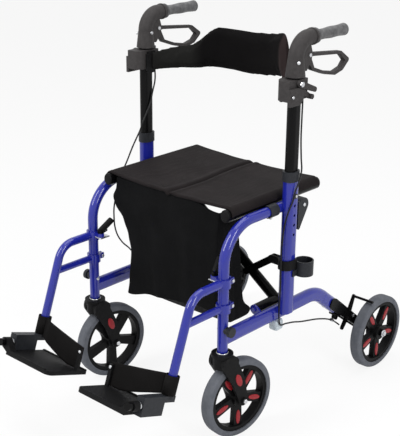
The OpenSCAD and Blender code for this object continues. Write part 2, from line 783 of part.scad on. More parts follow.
// Bolt and spacer that join the two cross tubes
module cross_bolt() {
  reach = cross_lane + cross_w / 2;
  color("silver") {
    lengthwise(-reach - 6, reach + 6, [0, cross_mid_z], 10);
    for (y = [-reach - 6 - air, reach + air]) lengthwise(y, y + 6, [0, cross_mid_z], 18);
    lengthwise(-cross_lane + cross_w / 2 + air, cross_lane - cross_w / 2 - air, [0, cross_mid_z], 20);
  }
}

// Half of the seat sling, from the seat rail to the centre fold
module seat_panel() {
  steps = 12;
  edge_x = cross_x + seat_rail_w / 2 - 1;
  span = cross_x - seat_rail_w / 2 - 2;
  function top_z(x) = seat_top_z + seat_t - (x < span ? seat_sag * (1 - pow(x / span, 2)) : 0);
  function ring_at(x) = [
    [x, -seat_front + 6, top_z(x) - seat_t], [x, -seat_front + 4, top_z(x) - 1],
    [x, -seat_front + 30, top_z(x)],
    [x, seat_rear - 30, top_z(x)], [x, seat_rear - 4, top_z(x) - 1], [x, seat_rear - 6, top_z(x) - seat_t]
  ];
  xs = [for (i = [0:steps]) i < steps ? 1 + (span - 1) * i / (steps - 1) : edge_x];
  color(black_cloth) loft([for (x = xs) ring_at(x)]);
}

// Stay from the cross tube up to the collar on the post
module stay_link() {
  color(black_steel) difference() {
    front_plate(-stay_t / 2, stay_t / 2) tapered_bar(stay_foot, stay_d / 2, stay_head, stay_d / 2);
    for (p = [stay_foot, stay_head]) lengthwise(-stay_t, stay_t, p, stay_pin_d + 2 * run_gap);
  }
}

// Open collar that slides on the post, with the ears for the stay
module stay_collar() {
  wall = 4;
  high = 24;
  z0 = stay_head[1] - high / 2;
  ear_in = stay_t / 2 + air;
  color(black_plastic) {
    difference() {
      post_prism(z0, z0 + high, air + wall);
      post_prism(z0 - 1, z0 + high + 1, air);
      translate([0, post_l / 2 - 6, z0 - 1]) cube([2 * post_x, post_l, high + 2]);
    }
    for (s = [-1, 1]) difference() {
      front_plate(min(s * ear_in, s * (ear_in + wall)), max(s * ear_in, s * (ear_in + wall)))
        tapered_bar(stay_head, high / 2 - 2, [post_x - post_w / 2, stay_head[1]], high / 2 - 2);
      post_prism(z0 - 1, z0 + high + 1, air);
    }
    lengthwise(-ear_in - wall, ear_in + wall, stay_head, stay_pin_d);
  }
}

// Wheels and casters

// Spoked hub with its boss and rim, at an axle
module hub(x, axle) {
  rim_in = rim_r - rim_t + 2;
  root = boss_d / 2 - 8;
  spoke_root = min(spoke_w, boss_d / 2);
  color(black_plastic) translate([x, axle[0], axle[1]]) rotate([0, 90, 0]) difference() {
    union() {
      translate([0, 0, -boss_l / 2]) cylinder(d = boss_d, h = boss_l);
      translate([0, 0, -rim_w / 2]) linear_extrude(rim_w) ring(2 * (rim_r - seat_gap), rim_t);
      for (i = [0:spokes - 1])
        rotate(360 * i / spokes) translate([0, 0, -spoke_t / 2]) linear_extrude(spoke_t) polygon([
          [root, -spoke_root / 2], [rim_in, -spoke_w / 2], [rim_in, spoke_w / 2], [root, spoke_root / 2]
        ]);
    }
    translate([0, 0, -boss_l]) cylinder(d = axle_d + 2 * run_gap, h = 2 * boss_l);
  }
}

// Solid tyre with a round tread
module tyre(x, axle) {
  tread = tyre_t - 2;
  color(tyre_grey) translate([x, axle[0], axle[1]]) rotate([0, 90, 0]) rotate_extrude() {
    translate([rim_r, -tyre_w / 2]) square([tyre_t - tread / 2, tyre_w]);
    translate([wheel_r - tread / 2, 0]) rotate(90) stadium(tyre_w, tread);
  }
}

// Fork with its crown, swivel stem and axle
module caster_fork() {
  stem_d = leg_d - 2 * tube_wall - 2 * slide_gap;
  crown_top = leg_foot - 3;
  crown_low = wheel_r + sqrt(pow(wheel_r + 6, 2) - pow(caster_trail, 2));
  reach = fork_in + fork_t;
  shoulder = [leg_y, crown_low + 16];
  knee = shoulder + 0.5 * (caster_axle - shoulder) + [8, 0];
  color(black_plastic) {
    difference() {
      union() {
        translate([frame_x, leg_y, crown_low]) cylinder(d = crown_d, h = crown_top - crown_low - 6);
        translate([frame_x, leg_y, crown_top - 8]) cylinder(d = crown_d + 8, h = 8);
        translate([frame_x, leg_y, crown_top - 1]) cylinder(d = leg_d + 2, h = 3.5);
        translate([frame_x, leg_y, crown_top - 1]) cylinder(d = stem_d, h = 60);
        side_plate(frame_x - reach, frame_x + reach) tapered_bar(shoulder, 17, shoulder + [14, 0], 15);
      }
      across(frame_x - fork_in, frame_x + fork_in, caster_axle, wheel_d + 2 * fork_gap);
    }
    for (x = [frame_x - reach, frame_x + fork_in])
      side_plate(x, x + fork_t) {
        tapered_bar(shoulder + [4, -5], 22, knee, 18);
        tapered_bar(knee, 18, caster_axle, 13);
      }
    across(frame_x - reach - 3, frame_x + reach + 3, caster_axle, axle_d);
    across(frame_x - reach - 4, frame_x - reach, caster_axle, axle_d + 4);
    across(frame_x + reach, frame_x + reach + 4, caster_axle, axle_d + 4);
  }
}

// Footrests

// Swing-away tube with its two collars on the front leg and the stud for the latch
module footrest_hanger() {
  collar_h2 = 22;
  collar_od = leg_d + 9;
  bend_mid = hanger_corner + [hanger_tangent, -hanger_bend_r];
  color(frame_blue) difference() {
    union() {
      side_run(frame_x, hanger_corner + [hanger_tangent, 0], [leg_y, hanger_z]) ring(hanger_d, tube_wall);
      side_bend(frame_x, bend_mid, hanger_bend_r, 90, 180 - hanger_rake)
        ring(hanger_d - 2 * bend_thin, tube_wall - 2 * bend_thin);
      side_run(frame_x, hanger_foot, hanger_top) ring(hanger_d, tube_wall);
      difference() {
        side_run(frame_x, [leg_y, brace_z], [brace_y, brace_z]) circle(d = hanger_d - 3);
        side_run(frame_x, hanger_foot, hanger_top) circle(d = hanger_d - tube_wall);
      }
      for (z = [hanger_z, brace_z]) {
        translate([frame_x, leg_y, z - collar_h2 / 2]) cylinder(d = collar_od, h = collar_h2);
        translate([frame_x - 7, leg_y, z - 7]) cube([14, leg_d / 2 + 16, 14]);
      }
      translate([latch_at[0], latch_at[1] - 9, hanger_z + 2])
        cube([frame_x - latch_at[0], 18, collar_h2 / 2 - 2]);
      translate([latch_at[0], latch_at[1], hanger_z + 2]) cylinder(d = 18, h = collar_h2 / 2 - 2);
      translate([latch_at[0], latch_at[1], hanger_z + 3]) cylinder(d = latch_pin_d, h = collar_h2 / 2 + 9);
    }
    translate([frame_x, leg_y, 0]) cylinder(d = leg_d + 2 * slide_gap, h = top_tube_z);
    for (z = [hanger_z, brace_z]) translate([frame_x - 2, leg_y, z - 15]) cube([4, 60, 30]);
  }
}

// Turns a footplate piece from upright to square with the hanger's lower tube
module squared_to_hanger() {
  translate([0, hanger_foot[0], hanger_foot[1]]) rotate([-hanger_rake, 0, 0])
    translate([0, -hanger_foot[0], -hanger_foot[1]]) children();
}

// Moulded block at the hanger's foot that carries the footplate's hinge pin
module hinge_block() {
  low = plate_z - footplate_t + 3;
  high = hanger_foot_z + 6;
  heel = hanger_foot[0] - 18;
  inner = footplate_out + 4;
  width = 2 * (frame_x - inner);
  color(black_plastic) squared_to_hanger() difference() {
    union() {
      translate([inner, block_front, low]) cube([width, heel - block_front, high - low]);
      translate([inner, heel - 1, hanger_foot_z - 8]) cube([width, block_rear - heel + 1, 14]);
      translate([frame_x, hanger_foot[0], hanger_foot_z]) cylinder(d = socket_d, h = 34);
    }
    translate([frame_x, hanger_foot[0], hanger_foot_z]) cylinder(d = hanger_d + 2 * seat_gap, h = 60);
    lengthwise(block_front - 1, hanger_foot[0] - hanger_d, [frame_x, hinge_z], pin_d + 2 * run_gap);
  }
}

// Hinge pin with its end plug
module hinge_pin() {
  color(black_steel) squared_to_hanger() {
    lengthwise(pin_front + 2, hanger_foot[0] - hanger_d - 1, [frame_x, hinge_z], pin_d);
    lengthwise(pin_front, footplate_front - 1, [frame_x, hinge_z], plug_d);
  }
}

// Tread plate with its rim, hinge knuckle and strap lug
module footplate() {
  low = plate_z - footplate_t;
  width = footplate_out - footplate_gap;
  rim = 6;
  lug_h = strap_h + 4;
  corner_r = 16;
  color(black_plastic) squared_to_hanger() difference() {
    union() {
      translate([footplate_gap, footplate_front, low]) linear_extrude(footplate_t) {
        translate([corner_r, corner_r]) circle(r = corner_r);
        translate([corner_r, 0]) square([width - corner_r, footplate_l]);
        translate([0, corner_r]) square([width, footplate_l - corner_r]);
      }
      translate([footplate_gap + corner_r, footplate_front, plate_z - 1]) cube([width - corner_r, rim, 3]);
      translate([footplate_gap, footplate_rear - rim, plate_z - 1]) cube([width, rim, 3]);
      translate([footplate_gap, strap_y - air - rim, low]) cube([10, rim, footplate_t + lug_h]);
      front_plate(footplate_front, footplate_front + knuckle_l)
        tapered_bar(
          [frame_x, hinge_z], plug_d / 2 + 3, [footplate_out - 14, low + footplate_t / 2], footplate_t / 2
        );
    }
    lengthwise(footplate_front - 1, footplate_front + knuckle_l + 1, [frame_x, hinge_z], pin_d + 2 * run_gap);
  }
}

// Webbing strap behind the heel, rising from the footplate's inner side to the hanger
module heel_strap() {
  low = plate_z + 3;
  rise = 31;
  inner = footplate_gap + 2;
  outer = frame_x - hanger_d / 2 - 9;
  knee = inner + (outer - inner) / 3;
  color(black_cloth) squared_to_hanger() front_plate(strap_y, strap_y + strap_t)
    polygon([
      [inner, low], [knee, low + 2], [outer, low + rise],
      [outer, low + rise + strap_h], [inner, low + strap_h + 4]
    ]);
}

// Release lever that turns on the hanger's stud
module footrest_latch() {
  z0 = hanger_z + 11 + air;
  color(black_steel) difference() {
    union() {
      translate([latch_at[0], latch_at[1], z0]) linear_extrude(3) tapered_bar([0, 0], 8, [4, 18], 7);
      translate([latch_at[0], latch_at[1], z0]) cylinder(d = 13, h = 9);
      translate([latch_at[0] - 5, latch_at[1], z0]) rotate([40, 0, 20]) cube([10, 44, 6]);
    }
    translate([latch_at[0], latch_at[1], z0 - 20]) cylinder(d = latch_pin_d + 2 * run_gap, h = 60);
    translate([0, latch_at[1] - 50, z0 - 30]) cube([2 * post_x, 200, 30]);
  }
}

// Rear brakes

// Bent arm with its shoe bar across the tyre
module brake_arm() {
  x0 = frame_x - brake_t / 2;
  x1 = frame_x + brake_t / 2;
  color(black_steel) difference() {
    union() {
      side_plate(x0, x1) {
        tapered_bar(brake_pivot, 9, shoe_at, 5);
        tapered_bar(brake_pivot, 9, brake_foot, 6);
      }
      across(x0, rear_wheel_x + tyre_w / 2 - 4, shoe_at, shoe_d);
    }
    across(x0 - 1, x1 + 1, brake_pivot, brake_pin_d + 2 * run_gap);
  }
}

// Jacketed cable along its route
module brake_cable(route) {
  color("#101012") cord([for (p = route) [post_x + p[0], p[1], p[2]]], cable_d);
}

right() front_leg();  // right_front_leg
left() front_leg();  // left_front_leg
right() bottom_rail();  // right_bottom_rail
left() bottom_rail();  // left_bottom_rail
right() upright_post();  // right_upright_post
left() upright_post();  // left_upright_post
right() frame_fittings();  // right_frame_fittings
left() frame_fittings();  // left_frame_fittings
right() rear_bracket();  // right_rear_bracket
left() rear_bracket();  // left_rear_bracket
right() cane_holder();
right() cargo_bag();
right() handle_tube();  // right_handle_tube
left() handle_tube();  // left_handle_tube
right() handle_housing();  // right_handle_housing
left() handle_housing();  // left_handle_housing
right() grip();  // right_grip
left() grip();  // left_grip
right() brake_lever();  // right_brake_lever
left() brake_lever();  // left_brake_lever
right() backrest_bracket();  // right_backrest_bracket
left() backrest_bracket();  // left_backrest_bracket
right() backrest_arm();  // right_backrest_arm
left() backrest_arm();  // left_backrest_arm
right() backrest_pad();
right() cross_frame(cross_lane);  // right_cross_frame
left() cross_frame(-cross_lane);  // left_cross_frame
right() cross_bolt();
right() seat_panel();  // right_seat_panel
left() seat_panel();  // left_seat_panel
right() stay_link();  // right_stay_link
left() stay_link();  // left_stay_link
right() stay_collar();  // right_stay_collar
left() stay_collar();  // left_stay_collar
right() swivelled(-caster_turn) caster_fork();  // right_caster_fork
left() swivelled(caster_turn) caster_fork();  // left_caster_fork
right() swivelled(-caster_turn) hub(frame_x, caster_axle);  // right_front_hub
left() swivelled(caster_turn) hub(frame_x, caster_axle);  // left_front_hub
right() hub(rear_wheel_x, rear_axle);  // right_rear_hub
left() hub(rear_wheel_x, rear_axle);  // left_rear_hub
right() swivelled(-caster_turn) tyre(frame_x, caster_axle);  // right_front_tyre
left() swivelled(caster_turn) tyre(frame_x, caster_axle);  // left_front_tyre
right() tyre(rear_wheel_x, rear_axle);  // right_rear_tyre
left() tyre(rear_wheel_x, rear_axle);  // left_rear_tyre
right() footrest_hanger();  // right_footrest_hanger
left() footrest_hanger();  // left_footrest_hanger
right() hinge_block();  // right_hinge_block
left() hinge_block();  // left_hinge_block
right() hinge_pin();  // right_hinge_pin
left() hinge_pin();  // left_hinge_pin
right() footplate();  // right_footplate
left() footplate();  // left_footplate
right() heel_strap();  // right_heel_strap
left() heel_strap();  // left_heel_strap
right() footrest_latch();  // right_footrest_latch
left() footrest_latch();  // left_footrest_latch
right() brake_arm();  // right_brake_arm
left() brake_arm();  // left_brake_arm
right() brake_cable(right_route);  // right_brake_cable
left() brake_cable(left_route);  // left_brake_cable
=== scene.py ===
# %% [markdown]
# # A rollator transport chair, dressed for a studio picture
# The hard parts of this chair come ready from the CAD frame: tubes, wheels, forks, handles and
# footplates. This lesson keeps them, gives each a real finish, and models what CAD solids can't
# show well: the cloth, the padding, the cables, the screws and the red wheel trims.

# %% Load the frame
import math

import bmesh
import bpy
from mathutils import Matrix, Vector, noise


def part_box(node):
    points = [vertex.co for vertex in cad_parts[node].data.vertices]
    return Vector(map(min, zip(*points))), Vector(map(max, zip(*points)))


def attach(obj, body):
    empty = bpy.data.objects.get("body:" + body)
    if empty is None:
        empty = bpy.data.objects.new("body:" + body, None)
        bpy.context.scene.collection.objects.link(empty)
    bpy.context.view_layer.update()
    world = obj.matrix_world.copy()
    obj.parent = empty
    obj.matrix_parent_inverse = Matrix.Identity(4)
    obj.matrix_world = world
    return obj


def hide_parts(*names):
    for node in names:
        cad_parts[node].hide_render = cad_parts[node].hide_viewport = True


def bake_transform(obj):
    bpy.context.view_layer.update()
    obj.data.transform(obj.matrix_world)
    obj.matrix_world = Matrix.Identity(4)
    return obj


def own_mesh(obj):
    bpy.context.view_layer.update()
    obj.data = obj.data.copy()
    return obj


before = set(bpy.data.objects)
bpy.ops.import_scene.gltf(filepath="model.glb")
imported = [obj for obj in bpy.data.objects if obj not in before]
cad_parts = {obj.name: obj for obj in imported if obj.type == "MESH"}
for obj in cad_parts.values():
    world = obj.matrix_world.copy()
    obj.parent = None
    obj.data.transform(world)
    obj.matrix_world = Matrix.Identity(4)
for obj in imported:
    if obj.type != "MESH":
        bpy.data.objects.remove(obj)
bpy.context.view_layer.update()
scene = bpy.context.scene

# %% [markdown]
# All places below are given as a fitter would measure them: millimetres across from the middle,
# behind the upright posts and above the floor. One helper turns such a place into frame metres,
# and it finds the posts in the loaded frame, so nothing has to be fitted by eye. FRAME_X and POST_X
# say how far out the front legs and the posts stand.

# %% Places measured from the posts
post_low, post_high = (Vector(corner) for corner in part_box("right_upright_post"))
POST_Y = (post_low.y + post_high.y) / 2
FRAME_X, POST_X = 218, 236


def spot(x, y, z):
    return Vector((x / 1000, y / 1000 + POST_Y, z / 1000))


print("posts stand at y", round(POST_Y, 4))

# %% [markdown]
# The camera stands to the right of the chair's front, a little above the seat, as the
# photographer did. Its angle was measured from known points on the chair, and the lens shift only
# brings the chair to the same place in the frame.

# %% Camera
azimuth, elevation, roll = (math.radians(angle) for angle in (42.96, 21.3, 0.29))
back = Vector((math.sin(azimuth) * math.cos(elevation), -math.cos(azimuth) * math.cos(elevation),
               math.sin(elevation)))
level = Vector((math.cos(azimuth), math.sin(azimuth), 0))
upright = back.cross(level)
right = math.cos(roll) * level + math.sin(roll) * upright
up = math.cos(roll) * upright - math.sin(roll) * level
AIM, DISTANCE = spot(3.64, -98.65, 435.64), 2.5898
camera = bpy.data.objects.new("studio_camera", bpy.data.cameras.new("studio_camera"))
camera.data.lens = 87.47
camera.data.sensor_width = 36
camera.data.shift_x = 0.0278
camera.data.shift_y = 0.0380
facing_aim = Matrix((right, up, back)).transposed().to_4x4()
camera.matrix_world = Matrix.Translation(AIM + DISTANCE * back) @ facing_aim
scene.collection.objects.link(camera)
scene.camera = camera
print("camera at", [round(value, 3) for value in camera.matrix_world.translation])

# %% [markdown]
# The studio is a wide pale floor under soft light. Three large lamps and a half-strength white
# world add up to about one, so a colour renders about as it is written. The camera, mirrors and
# glass see the world and most of the floor as plain white, and the floor keeps a soft shadow.

# %% Studio light and floor
scene.view_settings.view_transform = "Standard"


def sees_white(tree, lit, white):
    path = tree.nodes.new("ShaderNodeLightPath")
    either = tree.nodes.new("ShaderNodeMath")
    either.operation = "MAXIMUM"
    tree.links.new(path.outputs["Is Camera Ray"], either.inputs[0])
    tree.links.new(path.outputs["Is Glossy Ray"], either.inputs[1])
    any_ray = tree.nodes.new("ShaderNodeMath")
    any_ray.operation = "MAXIMUM"
    tree.links.new(either.outputs[0], any_ray.inputs[0])
    tree.links.new(path.outputs["Is Transmission Ray"], any_ray.inputs[1])
    mix = tree.nodes.new("ShaderNodeMixShader")
    tree.links.new(any_ray.outputs[0], mix.inputs[0])
    tree.links.new(lit.outputs[0], mix.inputs[1])
    tree.links.new(white.outputs[0], mix.inputs[2])
    return mix


world = bpy.data.worlds.new("studio_world")
scene.world = world
world.use_nodes = True
sky = world.node_tree
soft = sky.nodes["Background"]
soft.inputs["Color"].default_value = (1, 1, 1, 1)
soft.inputs["Strength"].default_value = 0.5
plain = sky.nodes.new("ShaderNodeBackground")
plain.inputs["Color"].default_value = (1, 1, 1, 1)
sky.links.new(sees_white(sky, soft, plain).outputs[0], sky.nodes["World Output"].inputs["Surface"])

floor_look = bpy.data.materials.new("studio_floor")
floor_look.use_nodes = True
tree = floor_look.node_tree
tree.nodes.remove(tree.nodes["Principled BSDF"])
paper = tree.nodes.new("ShaderNodeBsdfDiffuse")
paper.inputs["Color"].default_value = (0.9, 0.9, 0.9, 1)
glow = tree.nodes.new("ShaderNodeEmission")
lifted = tree.nodes.new("ShaderNodeMixShader")
lifted.inputs[0].default_value = 0.86
tree.links.new(paper.outputs[0], lifted.inputs[1])
tree.links.new(glow.outputs[0], lifted.inputs[2])
tree.links.new(sees_white(tree, paper, lifted).outputs[0], tree.nodes["Material Output"].inputs["Surface"])

ground = bmesh.new()
bmesh.ops.create_grid(ground, x_segments=1, y_segments=1, size=20)
floor_mesh = bpy.data.meshes.new("studio_floor")
ground.to_mesh(floor_mesh)
ground.free()
floor_mesh.materials.append(floor_look)
floor = bpy.data.objects.new("studio_floor", floor_mesh)
scene.collection.objects.link(floor)

for lamp_name, place, power, width, height in (
        ("key_lamp", spot(-900, -2600, 2500), 62, 1.0, 2.4),
        ("side_lamp", spot(2600, -600, 1800), 36, 0.7, 2.2),
        ("top_lamp", spot(0, 300, 3000), 34, 2.2, 2.2)):
    lamp = bpy.data.lights.new(lamp_name, "AREA")
    lamp.shape = "RECTANGLE"
    lamp.energy = power
    lamp.size = width
    lamp.size_y = height
    lamp_object = bpy.data.objects.new(lamp_name, lamp)
    lamp_object.location = place
    lamp_object.rotation_euler = (place - spot(0, 0, 450)).to_track_quat("Z", "Y").to_euler()
    scene.collection.objects.link(lamp_object)
print("three lamps and a floor")

# %% [markdown]
# Each finish starts from Blender's Principled shader. Small helpers add the three things that make
# a surface look made and not drawn: a fine unevenness of colour, a change of gloss and a bump.
# They read Object coordinates in metres, so a scale of 1000 gives a grain of about a millimetre.

# %% Helpers for finishes


def new_finish(name, colour, roughness, shine):
    finish = bpy.data.materials.new(name)
    finish.use_nodes = True
    shader = finish.node_tree.nodes["Principled BSDF"]
    shader.inputs["Base Color"].default_value = (*colour, 1)
    shader.inputs["Roughness"].default_value = roughness
    shader.inputs["Specular IOR Level"].default_value = shine
    return finish, finish.node_tree, shader


def object_places(tree):
    return tree.nodes.new("ShaderNodeTexCoord").outputs["Object"]


def grain(tree, scale, detail=3):
    """Fine cloudy noise, in cells of about one metre over scale."""
    field = tree.nodes.new("ShaderNodeTexNoise")
    field.inputs["Scale"].default_value = scale
    field.inputs["Detail"].default_value = detail
    tree.links.new(object_places(tree), field.inputs["Vector"])
    return field.outputs["Fac"]


def between(tree, factor, low, high):
    """Spread a grain, which stays near its middle, over the whole way from low to high."""
    ramp = tree.nodes.new("ShaderNodeMapRange")
    ramp.inputs["From Min"].default_value = 0.3
    ramp.inputs["From Max"].default_value = 0.7
    ramp.inputs["To Min"].default_value = low
    ramp.inputs["To Max"].default_value = high
    tree.links.new(factor, ramp.inputs["Value"])
    return ramp.outputs["Result"]


def tint(tree, shader, factor, dark, light):
    blend = tree.nodes.new("ShaderNodeMix")
    blend.data_type = "RGBA"
    blend.inputs[6].default_value = (*dark, 1)
    blend.inputs[7].default_value = (*light, 1)
    tree.links.new(factor, blend.inputs[0])
    tree.links.new(blend.outputs[2], shader.inputs["Base Color"])


def bump(tree, shader, height, strength, depth):
    relief = tree.nodes.new("ShaderNodeBump")
    relief.inputs["Strength"].default_value = strength
    relief.inputs["Distance"].default_value = depth
    tree.links.new(height, relief.inputs["Height"])
    tree.links.new(relief.outputs["Normal"], shader.inputs["Normal"])


# %% [markdown]
# The tubes of the side frames are powder coated in a deep royal blue with a fine glitter. A clear
# coat over a slightly uneven base gives the long soft highlights along each tube.

# %% Blue frame paint
frame_paint, tree, shader = new_finish("frame_paint", (0.008, 0.014, 0.25), 0.42, 0.1)
tint(tree, shader, between(tree, grain(tree, 2600, 2), 0, 1), (0.006, 0.011, 0.22), (0.011, 0.018, 0.29))
tree.links.new(between(tree, grain(tree, 900), 0.36, 0.5), shader.inputs["Roughness"])
bump(tree, shader, grain(tree, 420, 2), 0.12, 0.0004)
shader.inputs["Coat Weight"].default_value = 1
shader.inputs["Coat Roughness"].default_value = 0.06
print("finish", frame_paint.name)

# %% [markdown]
# The handle tubes, cross frame and small brackets are black steel, and the forks, wheels and
# footplates are black moulded plastic with a fine spark-eroded grain that scatters the light. The
# handles are a warm dark grey, and the collars, cane cup and hinge blocks a bluish one.

# %% Black steel and black plastic
black_steel, tree, shader = new_finish("black_steel", (0.0025, 0.0025, 0.0027), 0.3, 0.07)
tree.links.new(between(tree, grain(tree, 700), 0.2, 0.32), shader.inputs["Roughness"])
bump(tree, shader, grain(tree, 500, 2), 0.1, 0.0003)
shader.inputs["Coat Weight"].default_value = 0.1
shader.inputs["Coat Roughness"].default_value = 0.2

black_plastic, tree, shader = new_finish("black_plastic", (0.005, 0.005, 0.0053), 0.5, 0.1)
tint(tree, shader, between(tree, grain(tree, 160, 4), 0, 1), (0.004, 0.004, 0.0043), (0.007, 0.007, 0.0074))
tree.links.new(between(tree, grain(tree, 350), 0.46, 0.6), shader.inputs["Roughness"])
bump(tree, shader, grain(tree, 1900, 2), 0.3, 0.0005)

handle_plastic, tree, shader = new_finish("handle_plastic", (0.036, 0.033, 0.033), 0.55, 0.2)
tint(tree, shader, between(tree, grain(tree, 130, 4), 0, 1), (0.030, 0.0275, 0.0275), (0.042, 0.0385, 0.0385))
tree.links.new(between(tree, grain(tree, 350), 0.5, 0.64), shader.inputs["Roughness"])
bump(tree, shader, grain(tree, 1700, 2), 0.4, 0.0006)

grey_plastic, tree, shader = new_finish("grey_plastic", (0.016, 0.0175, 0.021), 0.46, 0.22)
tint(tree, shader, between(tree, grain(tree, 150, 4), 0, 1), (0.013, 0.0145, 0.0175), (0.020, 0.0215, 0.026))
tree.links.new(between(tree, grain(tree, 350), 0.4, 0.54), shader.inputs["Roughness"])
bump(tree, shader, grain(tree, 1700, 2), 0.3, 0.0005)
print("finishes", black_steel.name, black_plastic.name, handle_plastic.name, grey_plastic.name)

# %% [markdown]
# Screws, washers and axle nuts are zinc-plated steel. The rubber of the grips is softer and
# paler than the plastic, and the solid tyres are a dark grey that takes a dusty look on the tread.

# %% Zinc, grip rubber and tyre
silver_steel, tree, shader = new_finish("silver_steel", (0.60, 0.61, 0.63), 0.28, 0.5)
shader.inputs["Metallic"].default_value = 1
tree.links.new(between(tree, grain(tree, 900, 4), 0.2, 0.42), shader.inputs["Roughness"])
bump(tree, shader, grain(tree, 1500, 2), 0.1, 0.0002)

grip_rubber, tree, shader = new_finish("grip_rubber", (0.07, 0.07, 0.073), 0.4, 0.5)
cells = tree.nodes.new("ShaderNodeTexVoronoi")
cells.inputs["Scale"].default_value = 420
tree.links.new(object_places(tree), cells.inputs["Vector"])
tint(tree, shader, between(tree, grain(tree, 90, 4), 0, 1), (0.032, 0.032, 0.034), (0.11, 0.11, 0.114))
bump(tree, shader, cells.outputs["Distance"], 0.5, 0.0012)

tyre, tree, shader = new_finish("tyre", (0.108, 0.115, 0.133), 0.66, 0.2)
tint(tree, shader, between(tree, grain(tree, 60, 5), 0, 1), (0.094, 0.101, 0.118), (0.125, 0.132, 0.150))
tree.links.new(between(tree, grain(tree, 300), 0.62, 0.8), shader.inputs["Roughness"])
bump(tree, shader, grain(tree, 1400, 2), 0.25, 0.0006)
print("finishes", silver_steel.name, grip_rubber.name, tyre.name)

# %% [markdown]
# The red trims on the wheels and forks are glossy moulded plastic. The cable jacket is plain black
# and a little shiny, and the caps under the rails are pale grey.

# %% Red trim, cable jacket and pale cap
red_trim, tree, shader = new_finish("red_trim", (0.28, 0.010, 0.016), 0.36, 0.3)
tint(tree, shader, between(tree, grain(tree, 220, 3), 0, 1), (0.23, 0.008, 0.013), (0.34, 0.014, 0.021))
bump(tree, shader, grain(tree, 900, 2), 0.12, 0.0003)

cable_jacket, tree, shader = new_finish("cable_jacket", (0.008, 0.008, 0.0085), 0.4, 0.2)
tree.links.new(between(tree, grain(tree, 500), 0.32, 0.46), shader.inputs["Roughness"])
bump(tree, shader, grain(tree, 1200, 2), 0.15, 0.0003)

grey_cap, tree, shader = new_finish("grey_cap", (0.46, 0.52, 0.56), 0.4, 0.4)
tint(tree, shader, between(tree, grain(tree, 120, 3), 0, 1), (0.40, 0.46, 0.50), (0.52, 0.58, 0.62))
bump(tree, shader, grain(tree, 1500, 2), 0.15, 0.0003)
print("finishes", red_trim.name, cable_jacket.name, grey_cap.name)

# %% [markdown]
# Cloth needs a weave. Waves in three directions cross to make warp and weft, on the level seat as
# on the upright sides of the bag. The backrest is a finer knit, and the heel straps are a coarser
# webbing.

# %% Woven cloths


def woven(name, colour, light, threads, roughness, depth, sheen):
    finish, tree, shader = new_finish(name, colour, roughness, 0.06)
    ribs = []
    for axis in ("X", "Y", "Z"):
        wave = tree.nodes.new("ShaderNodeTexWave")
        wave.bands_direction = axis
        wave.inputs["Scale"].default_value = threads
        wave.inputs["Distortion"].default_value = 0.6
        wave.inputs["Detail"].default_value = 0
        tree.links.new(object_places(tree), wave.inputs["Vector"])
        ribs.append(wave.outputs["Fac"])
    crossing = tree.nodes.new("ShaderNodeMath")
    crossing.operation = "MAXIMUM"
    tree.links.new(ribs[0], crossing.inputs[0])
    tree.links.new(ribs[1], crossing.inputs[1])
    weave = tree.nodes.new("ShaderNodeMath")
    weave.operation = "MULTIPLY"
    tree.links.new(crossing.outputs[0], weave.inputs[0])
    tree.links.new(ribs[2], weave.inputs[1])
    worn = between(tree, grain(tree, 14, 3), 0.15, 0.85)
    shade = tree.nodes.new("ShaderNodeMath")
    shade.operation = "MULTIPLY_ADD"
    shade.inputs[1].default_value = 0.25
    tree.links.new(weave.outputs[0], shade.inputs[0])
    tree.links.new(worn, shade.inputs[2])
    tint(tree, shader, shade.outputs[0], colour, light)
    bump(tree, shader, weave.outputs[0], 0.3, depth)
    shader.inputs["Sheen Weight"].default_value = sheen
    shader.inputs["Sheen Roughness"].default_value = 0.4
    shader.inputs["Sheen Tint"].default_value = (0.55, 0.5, 0.5, 1)
    return finish


seat_cloth = woven("seat_cloth", (0.0075, 0.0062, 0.0064), (0.0145, 0.0118, 0.0122), 420, 0.7, 0.0004, 0.015)
pad_cloth = woven("pad_cloth", (0.0022, 0.0020, 0.0022), (0.0045, 0.0040, 0.0042), 520, 0.85, 0.0004, 0.01)
bag_cloth = woven("bag_cloth", (0.0025, 0.0026, 0.0028), (0.0055, 0.0056, 0.0060), 450, 0.75, 0.0004, 0.01)
strap_web = woven("strap_web", (0.0045, 0.0042, 0.0042), (0.0095, 0.0088, 0.0088), 300, 0.8, 0.0006, 0.01)
print("cloths", seat_cloth.name, pad_cloth.name, bag_cloth.name, strap_web.name)

# %% [markdown]
# The backrest's cover is paler on the narrow neck at its left and brown on the bend at its right,
# where the brown is a painted sheen. Two ramps along Object X, in metres from the middle, lay these shades
# over the knit.

# %% Pale neck and painted sheen at the ends of the backrest cloth
# Paler towards the narrow neck at the left end of the band.
NECK_PALER = (-0.105, -0.135, (0.0105, 0.0105, 0.0100))
# Painted sheen: a brown tint on the right bend of the band stands in for the cloth's sheen there.
BEND_PAINTED_SHEEN = (0.150, 0.158, (0.024, 0.017, 0.017))
tree = pad_cloth.node_tree
shader = tree.nodes["Principled BSDF"]
plain_knit = shader.inputs["Base Color"].links[0].from_socket
split = tree.nodes.new("ShaderNodeSeparateXYZ")
tree.links.new(object_places(tree), split.inputs[0])
for low, high, shade in (NECK_PALER, BEND_PAINTED_SHEEN):
    ends = tree.nodes.new("ShaderNodeMapRange")
    ends.inputs["From Min"].default_value = low
    ends.inputs["From Max"].default_value = high
    tree.links.new(split.outputs["X"], ends.inputs["Value"])
    mixed = tree.nodes.new("ShaderNodeMix")
    mixed.data_type = "RGBA"
    tree.links.new(ends.outputs["Result"], mixed.inputs[0])
    tree.links.new(plain_knit, mixed.inputs[6])
    mixed.inputs[7].default_value = (*shade, 1)
    plain_knit = mixed.outputs[2]
tree.links.new(plain_knit, shader.inputs["Base Color"])
print("pale neck and painted sheen on", pad_cloth.name)

# %% [markdown]
# A CAD node keeps its mesh and only changes its finish. One table by the node's plain name covers
# both sides of the chair.

